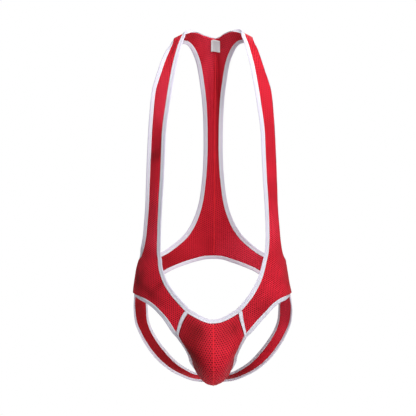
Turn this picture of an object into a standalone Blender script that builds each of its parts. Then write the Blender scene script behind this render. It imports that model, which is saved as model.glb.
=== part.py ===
"""Wrestling singlet: an open-front, open-seat mesh singlet held in its worn form.

Metres, +Z up. X is across the shoulders, -Y the front, +Y the back, and z = 0 is the top of the
shoulders, midway between the straps. Every panel lies on one general figure: `turn` is the angle
round the body and `drop` the height below the shoulders. Panels are open sheets with a Solidify
wall. Each edge has a bound tape, which starts one seam gap beyond the panel's edge.
"""
import math
from collections import namedtuple

import bmesh
import bpy
from mathutils import Vector

MM = 0.001

# Cloth and tape, in millimetres.
WALL = 1.5             # doubled mesh cloth
SEAM_GAP = 0.3         # clear space between neighbouring pieces
POUCH_SEAM_GAP = 1.8   # between mid-surfaces, as the pouch meets the front panel at an angle
POUCH_CENTRE_GAP = 0.8  # the same for the pouch halves, which meet in a shallow ridge
TAPE_WIDTH = 8.5       # folded binding, seen from its face
TAPE_THICK = 2.2       # tape, cloth edge and tape again
TAPE_PINCH = 1.2       # length over which the tape closes on the cloth's edge
STANDING_PINCH = 0.4   # how much narrower a tape is where it stands square to the cloth
COVER_WIDTH = 8.0      # tape over each pouch seam
COVER_THICK = 1.0
COVER_LIFT = 0.6       # clear space under the tape, which bridges the bend at the seam
COVER_ABOVE = 2.0      # the tape runs on above the cloth, up to the neckline's tape
COVER_CROWN = 1.5      # the tape stands a little higher over the seam itself
LABEL_WIDTH = 19.0
LABEL_THICK = 0.6
LABEL_LIFT = 1.1       # the label hangs this clear of the cloth
LABEL_DROPS = (65.5, 71.5, 77.5, 83.0, 88.5)
LABEL_CELLS = 4
CENTRE_SEAM_X = 5.0    # the centre-back seam has drifted this far to +X at the neck
CENTRE_SEAM_LOW_X = 3.5
SEAM_REACH = 12.0      # the drift fades out over this turn, in degrees

# How finely the sheets are cut.
STEPS_PER_ROW = 2
PANEL_CELLS = 4
POUCH_CELLS = 7
STRAP_CELLS = 3
CLOSEST_STATIONS = 4.0     # tape sections nearer than this, in mm, are made one

# The figure: half width, depth in front and behind, roundness and sideways sway at each drop.
# A roundness of 2 is an ellipse, less is more pointed at the side, more is squarer.
DOME_DROP = 200.0      # above this the body closes over in the shoulders
DOME_RISE = 217.0
RIGHT_LIFT = 2.5       # the +X shoulder sits this much higher
LIFT_REACH = 130.0     # drop over which that fades out
FIGURE = [
    # drop  half  front  back  round  sway
    (-30.0, 230.0, 115.0, 115.0, 1.20, 0.0),
    (0.0, 230.0, 115.0, 115.0, 1.20, 0.0),
    (60.0, 205.0, 115.0, 115.0, 1.30, 0.0),
    (130.0, 178.0, 115.0, 114.0, 1.50, 0.0),
    (200.0, 165.0, 114.0, 112.0, 1.65, 0.0),
    (300.0, 156.0, 112.0, 106.0, 1.85, 0.0),
    (400.0, 145.5, 106.0, 98.0, 2.05, 0.0),
    (450.0, 146.0, 104.0, 98.0, 2.15, -1.5),
    (475.0, 150.5, 103.0, 101.0, 2.20, -3.0),
    (500.0, 154.5, 102.0, 106.0, 2.25, -3.0),
    (530.0, 159.0, 101.0, 112.0, 2.30, -1.5),
    (560.0, 160.0, 100.0, 115.0, 2.30, 0.0),
    (620.0, 160.0, 96.0, 112.0, 2.30, 0.0),
    (700.0, 158.0, 92.0, 100.0, 2.30, 0.0),
]

# Front panel, from the shoulder seam to its tip beside the pouch. The inner edge is the neckline
# and then the pouch seam; the outer edge is the armhole, the side seam and then the leg line.
# Turn is in degrees from the centre front.
FRONT_PANEL = [
    # inner turn, drop   outer turn, drop
    (27.2, -12.0, 31.0, -12.0),    # shoulder seam, just behind the ridge
    (27.2, 12.0, 31.3, 12.0),
    (27.7, 38.0, 32.4, 40.0),
    (29.2, 56.0, 34.4, 57.0),
    (31.0, 80.0, 37.0, 81.0),
    (33.2, 105.0, 40.2, 105.0),
    (35.6, 134.0, 44.8, 132.0),
    (38.2, 165.0, 47.6, 165.0),
    (41.2, 205.0, 50.0, 205.0),
    (42.0, 249.0, 51.7, 249.0),
    (43.2, 300.0, 53.8, 300.0),
    (45.7, 345.0, 57.2, 345.0),
    (47.9, 390.0, 62.5, 390.0),
    (47.8, 414.0, 64.5, 414.0),
    (47.0, 437.0, 68.5, 437.0),
    (46.0, 448.0, 74.0, 450.0),
    (44.5, 457.0, 82.0, 457.0),
    (42.5, 468.0, 90.0, 460.0),    # armhole meets the side seam
    (38.5, 486.0, 90.0, 480.0),
    (34.0, 503.0, 90.0, 501.0),
    (30.0, 515.0, 90.0, 520.0),    # side seam meets the leg line
    (26.0, 527.0, 71.0, 525.0),
    (22.5, 537.0, 54.7, 531.0),
    (19.2, 547.0, 43.9, 541.6),
    (16.1, 556.0, 37.6, 553.0),    # neckline meets the pouch seam
    (17.2, 565.0, 32.3, 564.3),
    (18.4, 576.0, 27.9, 576.0),
    (19.3, 587.0, 24.3, 587.0),
    (20.4, 600.0, 21.6, 597.5),
]
FRONT_NECK_ROWS = (0, 24)
FRONT_SEAM_ROWS = (24, 28)
FRONT_ARMHOLE_ROWS = (0, 17)
FRONT_LEG_ROWS = (20, 28)

# Back panel, from the shoulder seam down the racer back and out along the wing to the side seam.
# The inner edge is the back neck, the centre-back seam and then the arch over the seat; the outer
# edge is the armhole. Turn is in degrees from the centre back.
BACK_PANEL = [
    # inner turn, drop   outer turn, drop
    (27.2, 12.5, 31.0, 12.5),      # shoulder seam
    (23.4, 20.0, 27.8, 32.0),
    (18.6, 34.0, 23.8, 49.0),
    (13.0, 51.0, 19.8, 70.0),
    (6.5, 63.0, 17.2, 85.0),
    (0.0, 67.0, 15.0, 98.0),       # neck meets the centre-back seam
    (0.0, 86.0, 13.4, 109.0),
    (0.0, 105.0, 12.0, 121.0),
    (0.0, 125.0, 10.5, 135.0),
    (0.0, 146.0, 8.8, 151.0),
    (0.0, 167.0, 7.5, 168.0),
    (0.0, 196.0, 6.3, 196.0),
    (0.0, 242.0, 5.7, 242.0),
    (0.0, 276.0, 5.9, 275.0),
    (0.0, 307.0, 6.6, 303.0),
    (0.0, 335.0, 7.8, 333.0),
    (0.0, 360.0, 9.8, 358.0),
    (0.0, 381.0, 12.5, 379.0),
    (0.0, 400.0, 15.8, 397.0),
    (0.0, 418.0, 20.6, 415.0),
    (0.0, 435.0, 27.0, 430.0),
    (0.0, 451.0, 34.0, 442.5),     # centre-back seam meets the arch
    (6.0, 452.5, 42.0, 452.5),
    (13.5, 458.0, 50.0, 457.5),
    (23.0, 466.0, 58.0, 459.5),
    (34.0, 477.0, 66.0, 460.5),
    (44.0, 489.5, 73.0, 461.0),
    (55.0, 501.5, 79.0, 461.0),
    (71.0, 512.5, 84.0, 460.5),
    (89.8, 520.0, 89.8, 460.0),    # side seam
]
BACK_NECK_ROWS = (0, 5)
BACK_ARCH_ROWS = (21, 29)
BACK_ARMHOLE_ROWS = (0, 29)

# Pouch half, from the neckline to the crotch, in millimetres. Each row runs from the centre seam
# to the side edge. A fullness of 0 is a flat curve on the body, 1 a round cup section.
POUCH = [
    # centre y, z     edge x, y, z           fullness drift of both edges in x
    (-99.0, -578.8, 52.0, -96.4, -556.6, 0.00, -0.5),
    (-107.0, -590.0, 55.2, -94.9, -565.5, 0.15, -2.6),
    (-116.0, -603.0, 58.4, -92.8, -576.5, 0.35, -3.8),
    (-124.5, -617.0, 61.2, -90.6, -588.0, 0.60, -4.0),
    (-131.0, -631.0, 63.7, -88.2, -601.5, 0.80, -3.9),   # pouch seam ends on the leg line
    (-134.5, -645.0, 57.8, -84.0, -612.0, 0.95, -3.0),
    (-134.0, -659.0, 51.0, -79.0, -624.0, 1.00, -2.0),
    (-129.5, -671.0, 45.5, -71.0, -636.0, 0.95, -1.5),
    (-120.5, -682.0, 41.5, -61.0, -648.5, 0.85, -1.0),
    (-106.0, -692.0, 40.0, -49.0, -661.0, 0.80, -0.5),
    (-87.0, -698.5, 36.5, -35.0, -672.0, 0.65, 0.0),
    (-64.0, -701.0, 30.0, -20.0, -682.5, 0.55, 0.0),
    (-38.0, -701.0, 21.5, -6.0, -690.5, 0.50, 0.0),
    (-12.0, -699.5, 15.5, 4.0, -695.5, 0.50, 0.0),
    (19.5, -698.4, 13.0, 19.5, -697.9, 0.50, 0.0),       # crotch, on the straps
]
POUCH_LEG_ROWS = (4, 13)
TOP_CURVE = 1.6        # how the neckline bends across the pouch
CUP_ANGLE = 78.0       # half the arc of a full cup section, in degrees

# Leg strap, from the hip round behind the leg to the crotch, in millimetres, tapes included.
LEG_STRAP = [
    # leg edge x, y, z       seat edge x, y, z
    (158.2, 22.7, -524.7, 138.4, 59.0, -513.0),
    (160.5, 31.0, -545.0, 136.5, 64.0, -530.0),
    (160.5, 36.0, -560.0, 134.0, 66.0, -548.0),
    (159.0, 40.0, -585.0, 132.0, 69.0, -577.0),
    (151.0, 41.0, -609.0, 125.0, 68.0, -599.0),
    (137.7, 40.0, -633.5, 112.5, 65.0, -619.5),
    (119.3, 35.0, -657.3, 95.0, 61.0, -642.0),
    (92.0, 27.0, -680.0, 73.5, 55.0, -664.5),
    (64.4, 20.0, -693.5, 53.5, 50.0, -678.4),
    (36.0, 13.0, -701.5, 33.0, 45.0, -687.5),
    (1.0, 8.0, -703.5, 1.0, 42.0, -690.0),
]
SHEET_MIDDLE = Vector((0.0, 0.0, -560.0))   # every sheet faces away from here
STRAP_BOW = 2.5        # the strap bellies outwards between its edges
LEG_TAPE_END_X = 10.0  # the leg-side tape stops where the pouch joins
STRAP_LEG_INSET = [2.0, 3.5, 8.0, 8.8, 8.8, 8.8]   # strap edge to cloth, from the hip to the crotch
STRAP_SEAT_INSET = [6.0, 6.3, 7.5, 8.8, 8.8, 8.8]
STRAP_TOP_LIFT = {-1: (4.9, 9.2), 1: (4.7, 9.0)}   # leg and seat edge, up to each side's hem
STRAP_TOP_INWARD = {-1: 0.0, 1: 4.4}               # and in behind it
STRAP_TOP_ROWS = 3.0                               # and eases into its curve over these rows

# How far each tape is turned about the cloth's edge, in degrees, at places spread evenly along it.
# Positive turns the free edge outwards, negative inwards.
NECK_ROLL = [20.0, 110.0, 155.0, 165.0, 165.0]             # from the shoulder to the centre back
ARMHOLE_ROLL = {-1: [-60.0, 10.0, 40.0, 40.0, 36.0, -40.0],   # from the shoulder to the side seam
                1: [-60.0, -60.0, -85.0, -85.0, -80.0, -40.0]}
RACER_ROLL = {-1: [-60.0, 3.0, 7.0, 20.0, 5.0, 30.0, -40.0],  # from the shoulder to the side seam
              1: [-60.0, 3.0, 7.0, 20.0, 5.0, 30.0, -40.0]}
LEG_LINE_ROLL = [-20.0, -10.0, -12.0, -8.0, 0.0]          # from the side seam to the pouch
ARCH_ROLL = [-40.0, -40.0, -45.0, -50.0, -50.0]            # from the centre back to the side seam
STRAP_LEG_ROLL = [-35.0, -28.0, -22.0, -18.0, -10.0, 0.0]       # from the hip to the crotch
STRAP_SEAT_ROLL = [25.0, 22.0, 20.0, 18.0, 10.0, 0.0]
POUCH_LEG_ROLL = [20.0, 80.0, 85.0, 25.0, 0.0, 0.0]       # from the pouch seam to the crotch

# The largest folds: soft ridges (+) and troughs (-) along a line, in millimetres and degrees.
# `lean` turns the line from downwards towards increasing turn.
FOLDS = [
    # panel        side turn  drop  run  across lean push
    ("front_panel", -1, 35.0, 62.0, 26.0, 4.0, 12.0, -2.4),
    ("front_panel", -1, 37.5, 72.0, 30.0, 4.0, 10.0, 1.6),
    ("front_panel", -1, 47.0, 255.0, 60.0, 9.0, 4.0, 1.2),
    ("front_panel", 1, 48.0, 330.0, 70.0, 10.0, 6.0, 1.2),
    ("front_panel", -1, 62.0, 500.0, 30.0, 12.0, -50.0, 1.5),
    ("front_panel", 1, 66.0, 492.0, 30.0, 12.0, 50.0, 1.5),
    ("back_panel", -1, 3.0, 190.0, 120.0, 3.2, 0.0, -1.8),
    ("back_panel", 1, 6.5, 200.0, 150.0, 5.0, 0.0, 5.0),
    ("back_panel", -1, 45.0, 470.0, 30.0, 9.0, 60.0, 1.4),
    ("back_panel", 1, 40.0, 468.0, 30.0, 9.0, -60.0, 1.4),
]
MM_PER_DEGREE = 2.3    # arc length round the body, used to size the folds

RED_CLOTH = ((0.62, 0.022, 0.050, 1.0), 0.62)
WHITE_TAPE = ((0.84, 0.82, 0.90, 1.0), 0.55)
LABEL_CLOTH = ((0.88, 0.87, 0.90, 1.0), 0.50)


Sheet = namedtuple("Sheet", "points outs")   # rows of points in mm, and the ways out of them
Station = namedtuple("Station", "start across out width")   # one section of a tape


def clear_scene():
    """Remove whatever the scene holds."""
    for thing in list(bpy.data.objects):
        bpy.data.objects.remove(thing, do_unlink=True)


def smooth_at(knots, values, at):
    """Value at `at` of a smooth curve through the knots that never overshoots them."""
    steps = [b - a for a, b in zip(knots, knots[1:])]
    slopes = [(b - a) / h for a, b, h in zip(values, values[1:], steps)]
    k = 0
    while k < len(steps) - 1 and at > knots[k + 1]:
        k += 1

    def tangent(i):
        if i == 0 or i == len(slopes) or slopes[i - 1] * slopes[i] <= 0:
            return 0.0
        return 2 * slopes[i - 1] * slopes[i] / (slopes[i - 1] + slopes[i])

    t = min(max((at - knots[k]) / steps[k], 0.0), 1.0)
    start = values[k] * (1 + 2 * t) * (1 - t) ** 2 + tangent(k) * steps[k] * t * (1 - t) ** 2
    end = values[k + 1] * t * t * (3 - 2 * t) + tangent(k + 1) * steps[k] * t * t * (t - 1)
    return start + end


def row_at(table, at):
    """Every column of a table at a row number, which may lie between two rows."""
    numbers = range(len(table))
    return [smooth_at(numbers, [row[c] for row in table], at) for c in range(len(table[0]))]


def spread_at(values, share):
    """Value at a share of the way through values that are spread evenly."""
    return smooth_at(range(len(values)), values, (len(values) - 1) * share)


def figure_size(drop):
    """Half width, front depth, back depth, roundness and sway of the figure at a drop."""
    drop = min(max(drop, FIGURE[0][0]), FIGURE[-1][0])
    knots = [row[0] for row in FIGURE]
    return [smooth_at(knots, [row[c] for row in FIGURE], drop) for c in range(1, 6)]


def figure_point(side, turn, drop):
    """Point of the figure in mm: side is -1 or 1, turn 0 the front, 90 the side, 180 the back."""
    half, front, back, roundness, sway = figure_size(drop)
    angle = math.radians(turn)
    facing = math.cos(angle)
    sideways = math.sin(angle)
    x = math.copysign(half * abs(sideways) ** (2 / roundness), sideways) * side
    depth = front if facing > 0 else back
    if drop >= DOME_DROP:
        return Vector((x + sway, -depth * facing, -drop))
    tip = math.radians(90 * (1 - drop / DOME_DROP))
    lift = RIGHT_LIFT * max(0.0, 1 - max(drop, 0.0) / LIFT_REACH) ** 2 if x > 0 else 0.0
    y = -depth * facing * math.cos(tip)
    z = -DOME_DROP + DOME_RISE * abs(facing) * math.sin(tip) + lift
    return Vector((x + sway, y, z))


def figure_out(side, turn, drop):
    """Unit vector out of the figure at a point."""
    across = figure_point(side, turn + 1, drop) - figure_point(side, turn - 1, drop)
    down = figure_point(side, turn, drop + 2) - figure_point(side, turn, drop - 2)
    return side * down.cross(across).normalized()


def fold_push(panel, side, turn, drop):
    """How far the folds move a point of a panel out of the figure, in mm."""
    total = 0.0
    for name, fold_side, fold_turn, fold_drop, run, across, lean, push in FOLDS:
        if name != panel or fold_side != side:
            continue
        right = (turn - fold_turn) * MM_PER_DEGREE
        down = drop - fold_drop
        angle = math.radians(lean)
        along = down * math.cos(angle) + right * math.sin(angle)
        beside = right * math.cos(angle) - down * math.sin(angle)
        total += push * math.exp(-((along / run) ** 2) - (beside / across) ** 2)
    return total


def cloth_out(panel, side, turn, drop):
    """Unit vector out of a panel; `turn` is from the panel's own centre line."""
    return figure_out(side, 180 - turn if panel == "back_panel" else turn, drop)


def cloth_point(panel, side, turn, drop):
    """Point of a panel's mid-surface, on the figure or moved off it by the folds."""
    base = figure_point(side, 180 - turn if panel == "back_panel" else turn, drop)
    return base + cloth_out(panel, side, turn, drop) * fold_push(panel, side, turn, drop)


def seam_turn(drop):
    """Turn of the centre-back seam, which lies a little to +X of the middle."""
    half, _, _, roundness, _ = figure_size(drop)
    x = CENTRE_SEAM_X + (CENTRE_SEAM_LOW_X - CENTRE_SEAM_X) * min(max(drop / 450.0, 0.0), 1.0)
    return math.degrees(math.asin((x / half) ** (roundness / 2)))


def panel_sheet(panel, table, side):
    """A front or back panel: a list of rows, each from the inner to the outer edge."""
    sheet = Sheet([], [])
    for step in range((len(table) - 1) * STEPS_PER_ROW + 1):
        inner_turn, inner_drop, outer_turn, outer_drop = row_at(table, step / STEPS_PER_ROW)
        if panel == "back_panel":
            near_seam = max(0.0, 1.0 - inner_turn / SEAM_REACH)
            inner_turn += near_seam * (side * seam_turn(inner_drop) + SEAM_GAP / 2 / MM_PER_DEGREE)
        cells = [cell / PANEL_CELLS for cell in range(PANEL_CELLS + 1)]
        places = [(inner_turn + (outer_turn - inner_turn) * t,
                   inner_drop + (outer_drop - inner_drop) * t) for t in cells]
        sheet.points.append([cloth_point(panel, side, turn, drop) for turn, drop in places])
        sheet.outs.append([cloth_out(panel, side, turn, drop) for turn, drop in places])
    return sheet


def sheet_with_outs(points):
    """A sheet whose ways out are worked out from its points, away from SHEET_MIDDLE."""
    outs = []
    for r, row in enumerate(points):
        outs.append([])
        for c, point in enumerate(row):
            down = points[min(r + 1, len(points) - 1)][c] - points[max(r - 1, 0)][c]
            across = row[min(c + 1, len(row) - 1)] - row[max(c - 1, 0)]
            out = down.cross(across).normalized()
            outs[-1].append(out if out.dot(point - SHEET_MIDDLE) > 0 else -out)
    return Sheet(points, outs)


def pouch_sheet(side):
    """Points of a pouch half: rows from the centre seam to the side edge, neckline first."""
    grid = []
    for step in range((len(POUCH) - 1) * STEPS_PER_ROW + 1):
        values = row_at(POUCH, step / STEPS_PER_ROW)
        centre_y, centre_z, edge_x, edge_y, edge_z, fullness, drift = values
        row = []
        for cell in range(POUCH_CELLS + 1):
            t = cell / POUCH_CELLS
            arc = math.radians(CUP_ANGLE) * t
            full_x = math.sin(arc) / math.sin(math.radians(CUP_ANGLE))
            full_back = (1 - math.cos(arc)) / (1 - math.cos(math.radians(CUP_ANGLE)))
            x = t + (full_x - t) * fullness
            back = t ** TOP_CURVE + (full_back - t ** TOP_CURVE) * fullness
            row.append(Vector((
                side * (POUCH_CENTRE_GAP / 2 + (edge_x - POUCH_CENTRE_GAP) * x) + drift * x,
                centre_y + (edge_y - centre_y) * back,
                centre_z + (edge_z - centre_z) * back,
            )))
        grid.append(row)
    return sheet_with_outs(grid)


def strap_sheet(side):
    """Points of a leg strap between its two tapes: rows from the leg edge to the seat edge."""
    grid = []
    steps = (len(LEG_STRAP) - 1) * STEPS_PER_ROW
    for step in range(steps + 1):
        values = row_at(LEG_STRAP, step / STEPS_PER_ROW)
        top = max(0.0, 1 - step / STEPS_PER_ROW / STRAP_TOP_ROWS) ** 2
        leg_lift, seat_lift = (lift * top for lift in STRAP_TOP_LIFT[side])
        leg_inset, seat_inset = (spread_at(insets, step / steps)
                                 for insets in (STRAP_LEG_INSET, STRAP_SEAT_INSET))
        inward = STRAP_TOP_INWARD[side] * top
        leg = Vector((side * (values[0] - inward), values[1], values[2] + leg_lift))
        seat = Vector((side * (values[3] - inward), values[4], values[5] + seat_lift))
        width = (seat - leg).length
        bow = Vector((0, 1, -0.8)).normalized() * STRAP_BOW
        row = []
        for cell in range(STRAP_CELLS + 1):
            along = leg_inset + (width - leg_inset - seat_inset) * cell / STRAP_CELLS
            row.append(leg.lerp(seat, along / width) + bow * math.sin(math.pi * along / width))
        grid.append(row)
    return sheet_with_outs(grid)


def material(name, look):
    """A plain Principled material."""
    colour, roughness = look
    found = bpy.data.materials.get(name)
    if found:
        return found
    made = bpy.data.materials.new(name)
    made.use_nodes = True
    shader = made.node_tree.nodes["Principled BSDF"]
    shader.inputs["Base Color"].default_value = colour
    shader.inputs["Roughness"].default_value = roughness
    shader.inputs["Metallic"].default_value = 0.0
    return made


def add_object(collection, name, mesh_maker, look_name, look):
    """Put a bmesh in the collection as a smooth named object."""
    mesh = bpy.data.meshes.new(name)
    mesh_maker.to_mesh(mesh)
    mesh_maker.free()
    mesh.materials.append(material(look_name, look))
    for face in mesh.polygons:
        face.use_smooth = True
    made = bpy.data.objects.new(name, mesh)
    collection.objects.link(made)
    return made


def add_sheet(collection, name, grid, thickness, look_name, look):
    """A cloth sheet over rows of points in mm, given a wall by Solidify."""
    maker = bmesh.new()
    bmesh.ops.create_grid(maker, x_segments=len(grid[0]) - 1, y_segments=len(grid) - 1, size=0.5)
    maker.verts.ensure_lookup_table()
    for r, row in enumerate(grid):
        for c, point in enumerate(row):
            maker.verts[r * len(row) + c].co = point * MM
    sheet = add_object(collection, name, maker, look_name, look)
    wall = sheet.modifiers.new("wall", "SOLIDIFY")
    wall.thickness = thickness * MM
    wall.offset = 0.0
    return sheet


def stations_along(points, outs, neighbours):
    """Stations of a tape along an edge: its start, the way across it and the way out of it.

    The tape lies beyond the edge, away from the neighbouring points inside the sheet.
    """
    aheads = [(points[min(k + 1, len(points) - 1)] - points[max(k - 1, 0)]).normalized()
              for k in range(len(points))]
    ways = [ahead.cross(out).normalized() for ahead, out in zip(aheads, outs)]
    away = sum(way.dot(point - near) for way, point, near in zip(ways, points, neighbours))
    sign = 1 if away > 0 else -1
    stations = []
    for point, ahead, way in zip(points, aheads, ways):
        across = way * sign
        out = across.cross(ahead) * sign
        stations.append(Station(point + across * SEAM_GAP, across, out, TAPE_WIDTH))
    return stations


def edge_stations(sheet, first, last, column):
    """Stations of a tape along one edge of a sheet, whose column is 0 or -1."""
    numbers = range(first * STEPS_PER_ROW, last * STEPS_PER_ROW + 1)
    inside = 1 if column == 0 else -2
    return stations_along([sheet.points[r][column] for r in numbers],
                          [sheet.outs[r][column] for r in numbers],
                          [sheet.points[r][inside] for r in numbers])


def top_stations(sheet):
    """Stations of a tape beyond the first row of a sheet."""
    return stations_along(sheet.points[0], sheet.outs[0], sheet.points[1])


def rolled(stations, rolls):
    """Turn a tape about the cloth's edge, by angles spread evenly along it, in degrees.

    A positive angle turns its free edge outwards. The tape keeps clear of the cloth as it turns.
    """
    clear = WALL / 2 + SEAM_GAP + TAPE_THICK / 2
    turned = []
    for k, (start, across, out, width) in enumerate(stations):
        angle = math.radians(spread_at(rolls, k / (len(stations) - 1)))
        start = start + across * abs(math.sin(angle)) * TAPE_THICK / 2
        start += out * math.copysign(1 - math.cos(angle), angle) * clear / 2
        turned.append(Station(
            start,
            across * math.cos(angle) + out * math.sin(angle),
            out * math.cos(angle) - across * math.sin(angle),
            width * (1 - STANDING_PINCH * math.sin(angle) ** 2),
        ))
    return turned


def merged(one, other):
    """The station midway between two, a little further from the cloth's corner."""
    middle = Station(*[(a + b) / 2 for a, b in zip(one, other)])
    return middle._replace(start=middle.start + middle.across * SEAM_GAP)


def joined(*runs, closed):
    """One run of stations, with those where two runs meet made one, softly averaged."""
    stations = []
    for run in runs:
        for station in run:
            if stations and (station.start - stations[-1].start).length < CLOSEST_STATIONS:
                stations[-1] = merged(stations[-1], station)
            else:
                stations.append(station)
    if closed and (stations[0].start - stations[-1].start).length < CLOSEST_STATIONS:
        stations[0] = merged(stations[0], stations.pop())
    count = len(stations)
    smooth = []
    for k, station in enumerate(stations):
        before = stations[(k - 1) % count] if closed or k > 0 else station
        after = stations[(k + 1) % count] if closed or k < count - 1 else station
        across = (before.across + station.across * 2 + after.across).normalized()
        out = before.out + station.out * 2 + after.out
        out = (out - across * out.dot(across)).normalized()
        width = (before.width + station.width * 2 + after.width) / 4
        smooth.append(Station(station.start, across, out, width))
    return smooth


def add_binding(collection, name, stations, closed):
    """A folded tape along a run of stations: pinched on the cloth's edge, round at its fold."""
    half = TAPE_THICK / 2
    maker = bmesh.new()
    rings = []
    for start, across, out, width in stations:
        section = [(0.0, 0.0), (TAPE_PINCH, half), (width - half, half), (width, 0.0),
                   (width - half, -half), (TAPE_PINCH, -half)]
        rings.append([maker.verts.new((start + across * a + out * o) * MM) for a, o in section])
    spans = list(zip(rings, rings[1:]))
    if closed:
        spans.append((rings[-1], rings[0]))
    for ring, after in spans:
        for k in range(len(section)):
            n = (k + 1) % len(section)
            maker.faces.new((ring[k], ring[n], after[n], after[k]))
    if not closed:
        maker.faces.new(rings[0])
        maker.faces.new(rings[-1])
    bmesh.ops.recalc_face_normals(maker, faces=maker.faces)
    if maker.calc_volume(signed=True) < 0:
        bmesh.ops.reverse_faces(maker, faces=maker.faces)
    return add_object(collection, name, maker, "white_tape", WHITE_TAPE)


def neckline_stations(fronts, backs, pouches):
    """The neckline: under the open front, up both straps and round the back of the neck."""
    runs = []
    for side in (1, -1):
        pouch = top_stations(pouches[side])
        strap = edge_stations(fronts[side], *FRONT_NECK_ROWS, 0)
        neck = rolled(edge_stations(backs[side], *BACK_NECK_ROWS, 0), NECK_ROLL)
        half = pouch + strap[::-1] + neck
        runs.append(half if side == 1 else half[::-1])
    return joined(*runs, closed=True)


def armhole_stations(front, back, side):
    """One armhole: down the front strap, under the arm and up the racer back."""
    down = rolled(edge_stations(front, *FRONT_ARMHOLE_ROWS, -1), ARMHOLE_ROLL[side])
    up = rolled(edge_stations(back, *BACK_ARMHOLE_ROWS, -1), RACER_ROLL[side])
    return joined(down, up[::-1], closed=True)


def lower_stations(pouches, fronts, backs):
    """The lower edge: crotch, pouch side, leg line and hip, over the seat and down again."""
    runs = []
    for side in (1, -1):
        cup = rolled(edge_stations(pouches[side], *POUCH_LEG_ROWS, -1), POUCH_LEG_ROLL)
        leg = rolled(edge_stations(fronts[side], *FRONT_LEG_ROWS, -1), LEG_LINE_ROLL)
        arch = rolled(edge_stations(backs[side], *BACK_ARCH_ROWS, 0), ARCH_ROLL)
        half = cup[::-1] + leg[::-1] + arch[::-1]
        runs.append(half if side == 1 else half[::-1])
    return joined(*runs, closed=False)


def cover_grid(front, pouch):
    """The tape over a pouch seam: rows down the seam, moved out of both panels."""
    first, last = FRONT_SEAM_ROWS[0] * STEPS_PER_ROW, FRONT_SEAM_ROWS[1] * STEPS_PER_ROW
    lift = WALL / 2 + COVER_LIFT + COVER_THICK / 2
    grid = []
    for k in range(first, last + 1):
        front_row, pouch_row = front.points[k], pouch.points[k - first]
        front_out, pouch_out = front.outs[k][0], pouch.outs[k - first][-1]
        seam = (front_row[0] + pouch_row[-1]) / 2
        front_way = (front_row[1] - front_row[0]).normalized() * COVER_WIDTH / 2
        pouch_way = (pouch_row[-2] - pouch_row[-1]).normalized() * COVER_WIDTH / 2
        grid.append([
            seam + front_way + front_out * lift,
            seam + (front_out + pouch_out).normalized() * lift * COVER_CROWN,
            seam + pouch_way + pouch_out * lift,
        ])
    above = [a + (a - b).normalized() * COVER_ABOVE for a, b in zip(*grid[:2])]
    return [above] + grid


def close_pouch_seam(front, pouch):
    """Bring a front panel's seam edge beside the pouch's, under the tape.

    The rest of each row follows, less towards the leg line, except at the tip.
    """
    first, last = FRONT_SEAM_ROWS[0] * STEPS_PER_ROW, FRONT_SEAM_ROWS[1] * STEPS_PER_ROW
    for k in range(first, last + 1):
        edge = pouch.points[k - first][-1]
        row = front.points[k]
        way = (row[-1] - row[0]).normalized()
        tip = ((k - first) / (last - first)) ** 1.5
        move = edge + way * POUCH_SEAM_GAP - row[0]
        for c in range(len(row)):
            t = c / (len(row) - 1)
            row[c] = row[c] + move * (1 - t + t * tip)


def label_grid():
    """The neck label, hanging inside the back panels from the neckline."""
    lift = WALL / 2 + LABEL_LIFT + LABEL_THICK / 2
    grid = []
    for drop in LABEL_DROPS:
        row = []
        for cell in range(LABEL_CELLS + 1):
            x = CENTRE_SEAM_X + LABEL_WIDTH * (cell / LABEL_CELLS - 0.5)
            side = 1 if x >= 0 else -1
            half, _, _, roundness, _ = figure_size(drop)
            turn = math.degrees(math.asin((abs(x) / half) ** (roundness / 2)))
            row.append(figure_point(side, 180 - turn, drop)
                       - figure_out(side, 180 - turn, drop) * lift)
        grid.append(row)
    return grid


def build():
    """Make every piece of the singlet."""
    clear_scene()
    collection = bpy.data.collections.new("wrestling_singlet")
    bpy.context.scene.collection.children.link(collection)
    cloth = ("red_mesh", RED_CLOTH)
    fronts = {side: panel_sheet("front_panel", FRONT_PANEL, side) for side in (-1, 1)}
    backs = {side: panel_sheet("back_panel", BACK_PANEL, side) for side in (-1, 1)}
    pouches = {side: pouch_sheet(side) for side in (-1, 1)}
    for side in (-1, 1):
        close_pouch_seam(fronts[side], pouches[side])
    add_binding(collection, "neckline_binding", neckline_stations(fronts, backs, pouches), True)
    add_binding(collection, "lower_binding", lower_stations(pouches, fronts, backs), False)
    for side, hand in ((-1, "R"), (1, "L")):
        add_sheet(collection, f"front_panel_{hand}", fronts[side].points, WALL, *cloth)
        add_sheet(collection, f"back_panel_{hand}", backs[side].points, WALL, *cloth)
        add_sheet(collection, f"pouch_{hand}", pouches[side].points, WALL, *cloth)
        rim = armhole_stations(fronts[side], backs[side], side)
        add_binding(collection, f"armhole_binding_{hand}", rim, True)
        cover = cover_grid(fronts[side], pouches[side])
        add_sheet(collection, f"pouch_seam_tape_{hand}", cover, COVER_THICK, "white_tape", WHITE_TAPE)
        strap = strap_sheet(side)
        add_sheet(collection, f"leg_strap_{hand}", strap.points, WALL, *cloth)
        whole = (0, len(LEG_STRAP) - 1)
        leg_edge = [s for s in rolled(edge_stations(strap, *whole, 0), STRAP_LEG_ROLL)
                    if abs(s.start.x) > LEG_TAPE_END_X]
        add_binding(collection, f"strap_leg_binding_{hand}", joined(leg_edge, closed=False), False)
        seat_edge = rolled(edge_stations(strap, *whole, -1), STRAP_SEAT_ROLL)
        add_binding(collection, f"strap_seat_binding_{hand}", joined(seat_edge, closed=False), False)
    add_sheet(collection, "neck_label", label_grid(), LABEL_THICK, "label_cloth", LABEL_CLOTH)


build()
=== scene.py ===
import math
from collections import namedtuple

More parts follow.
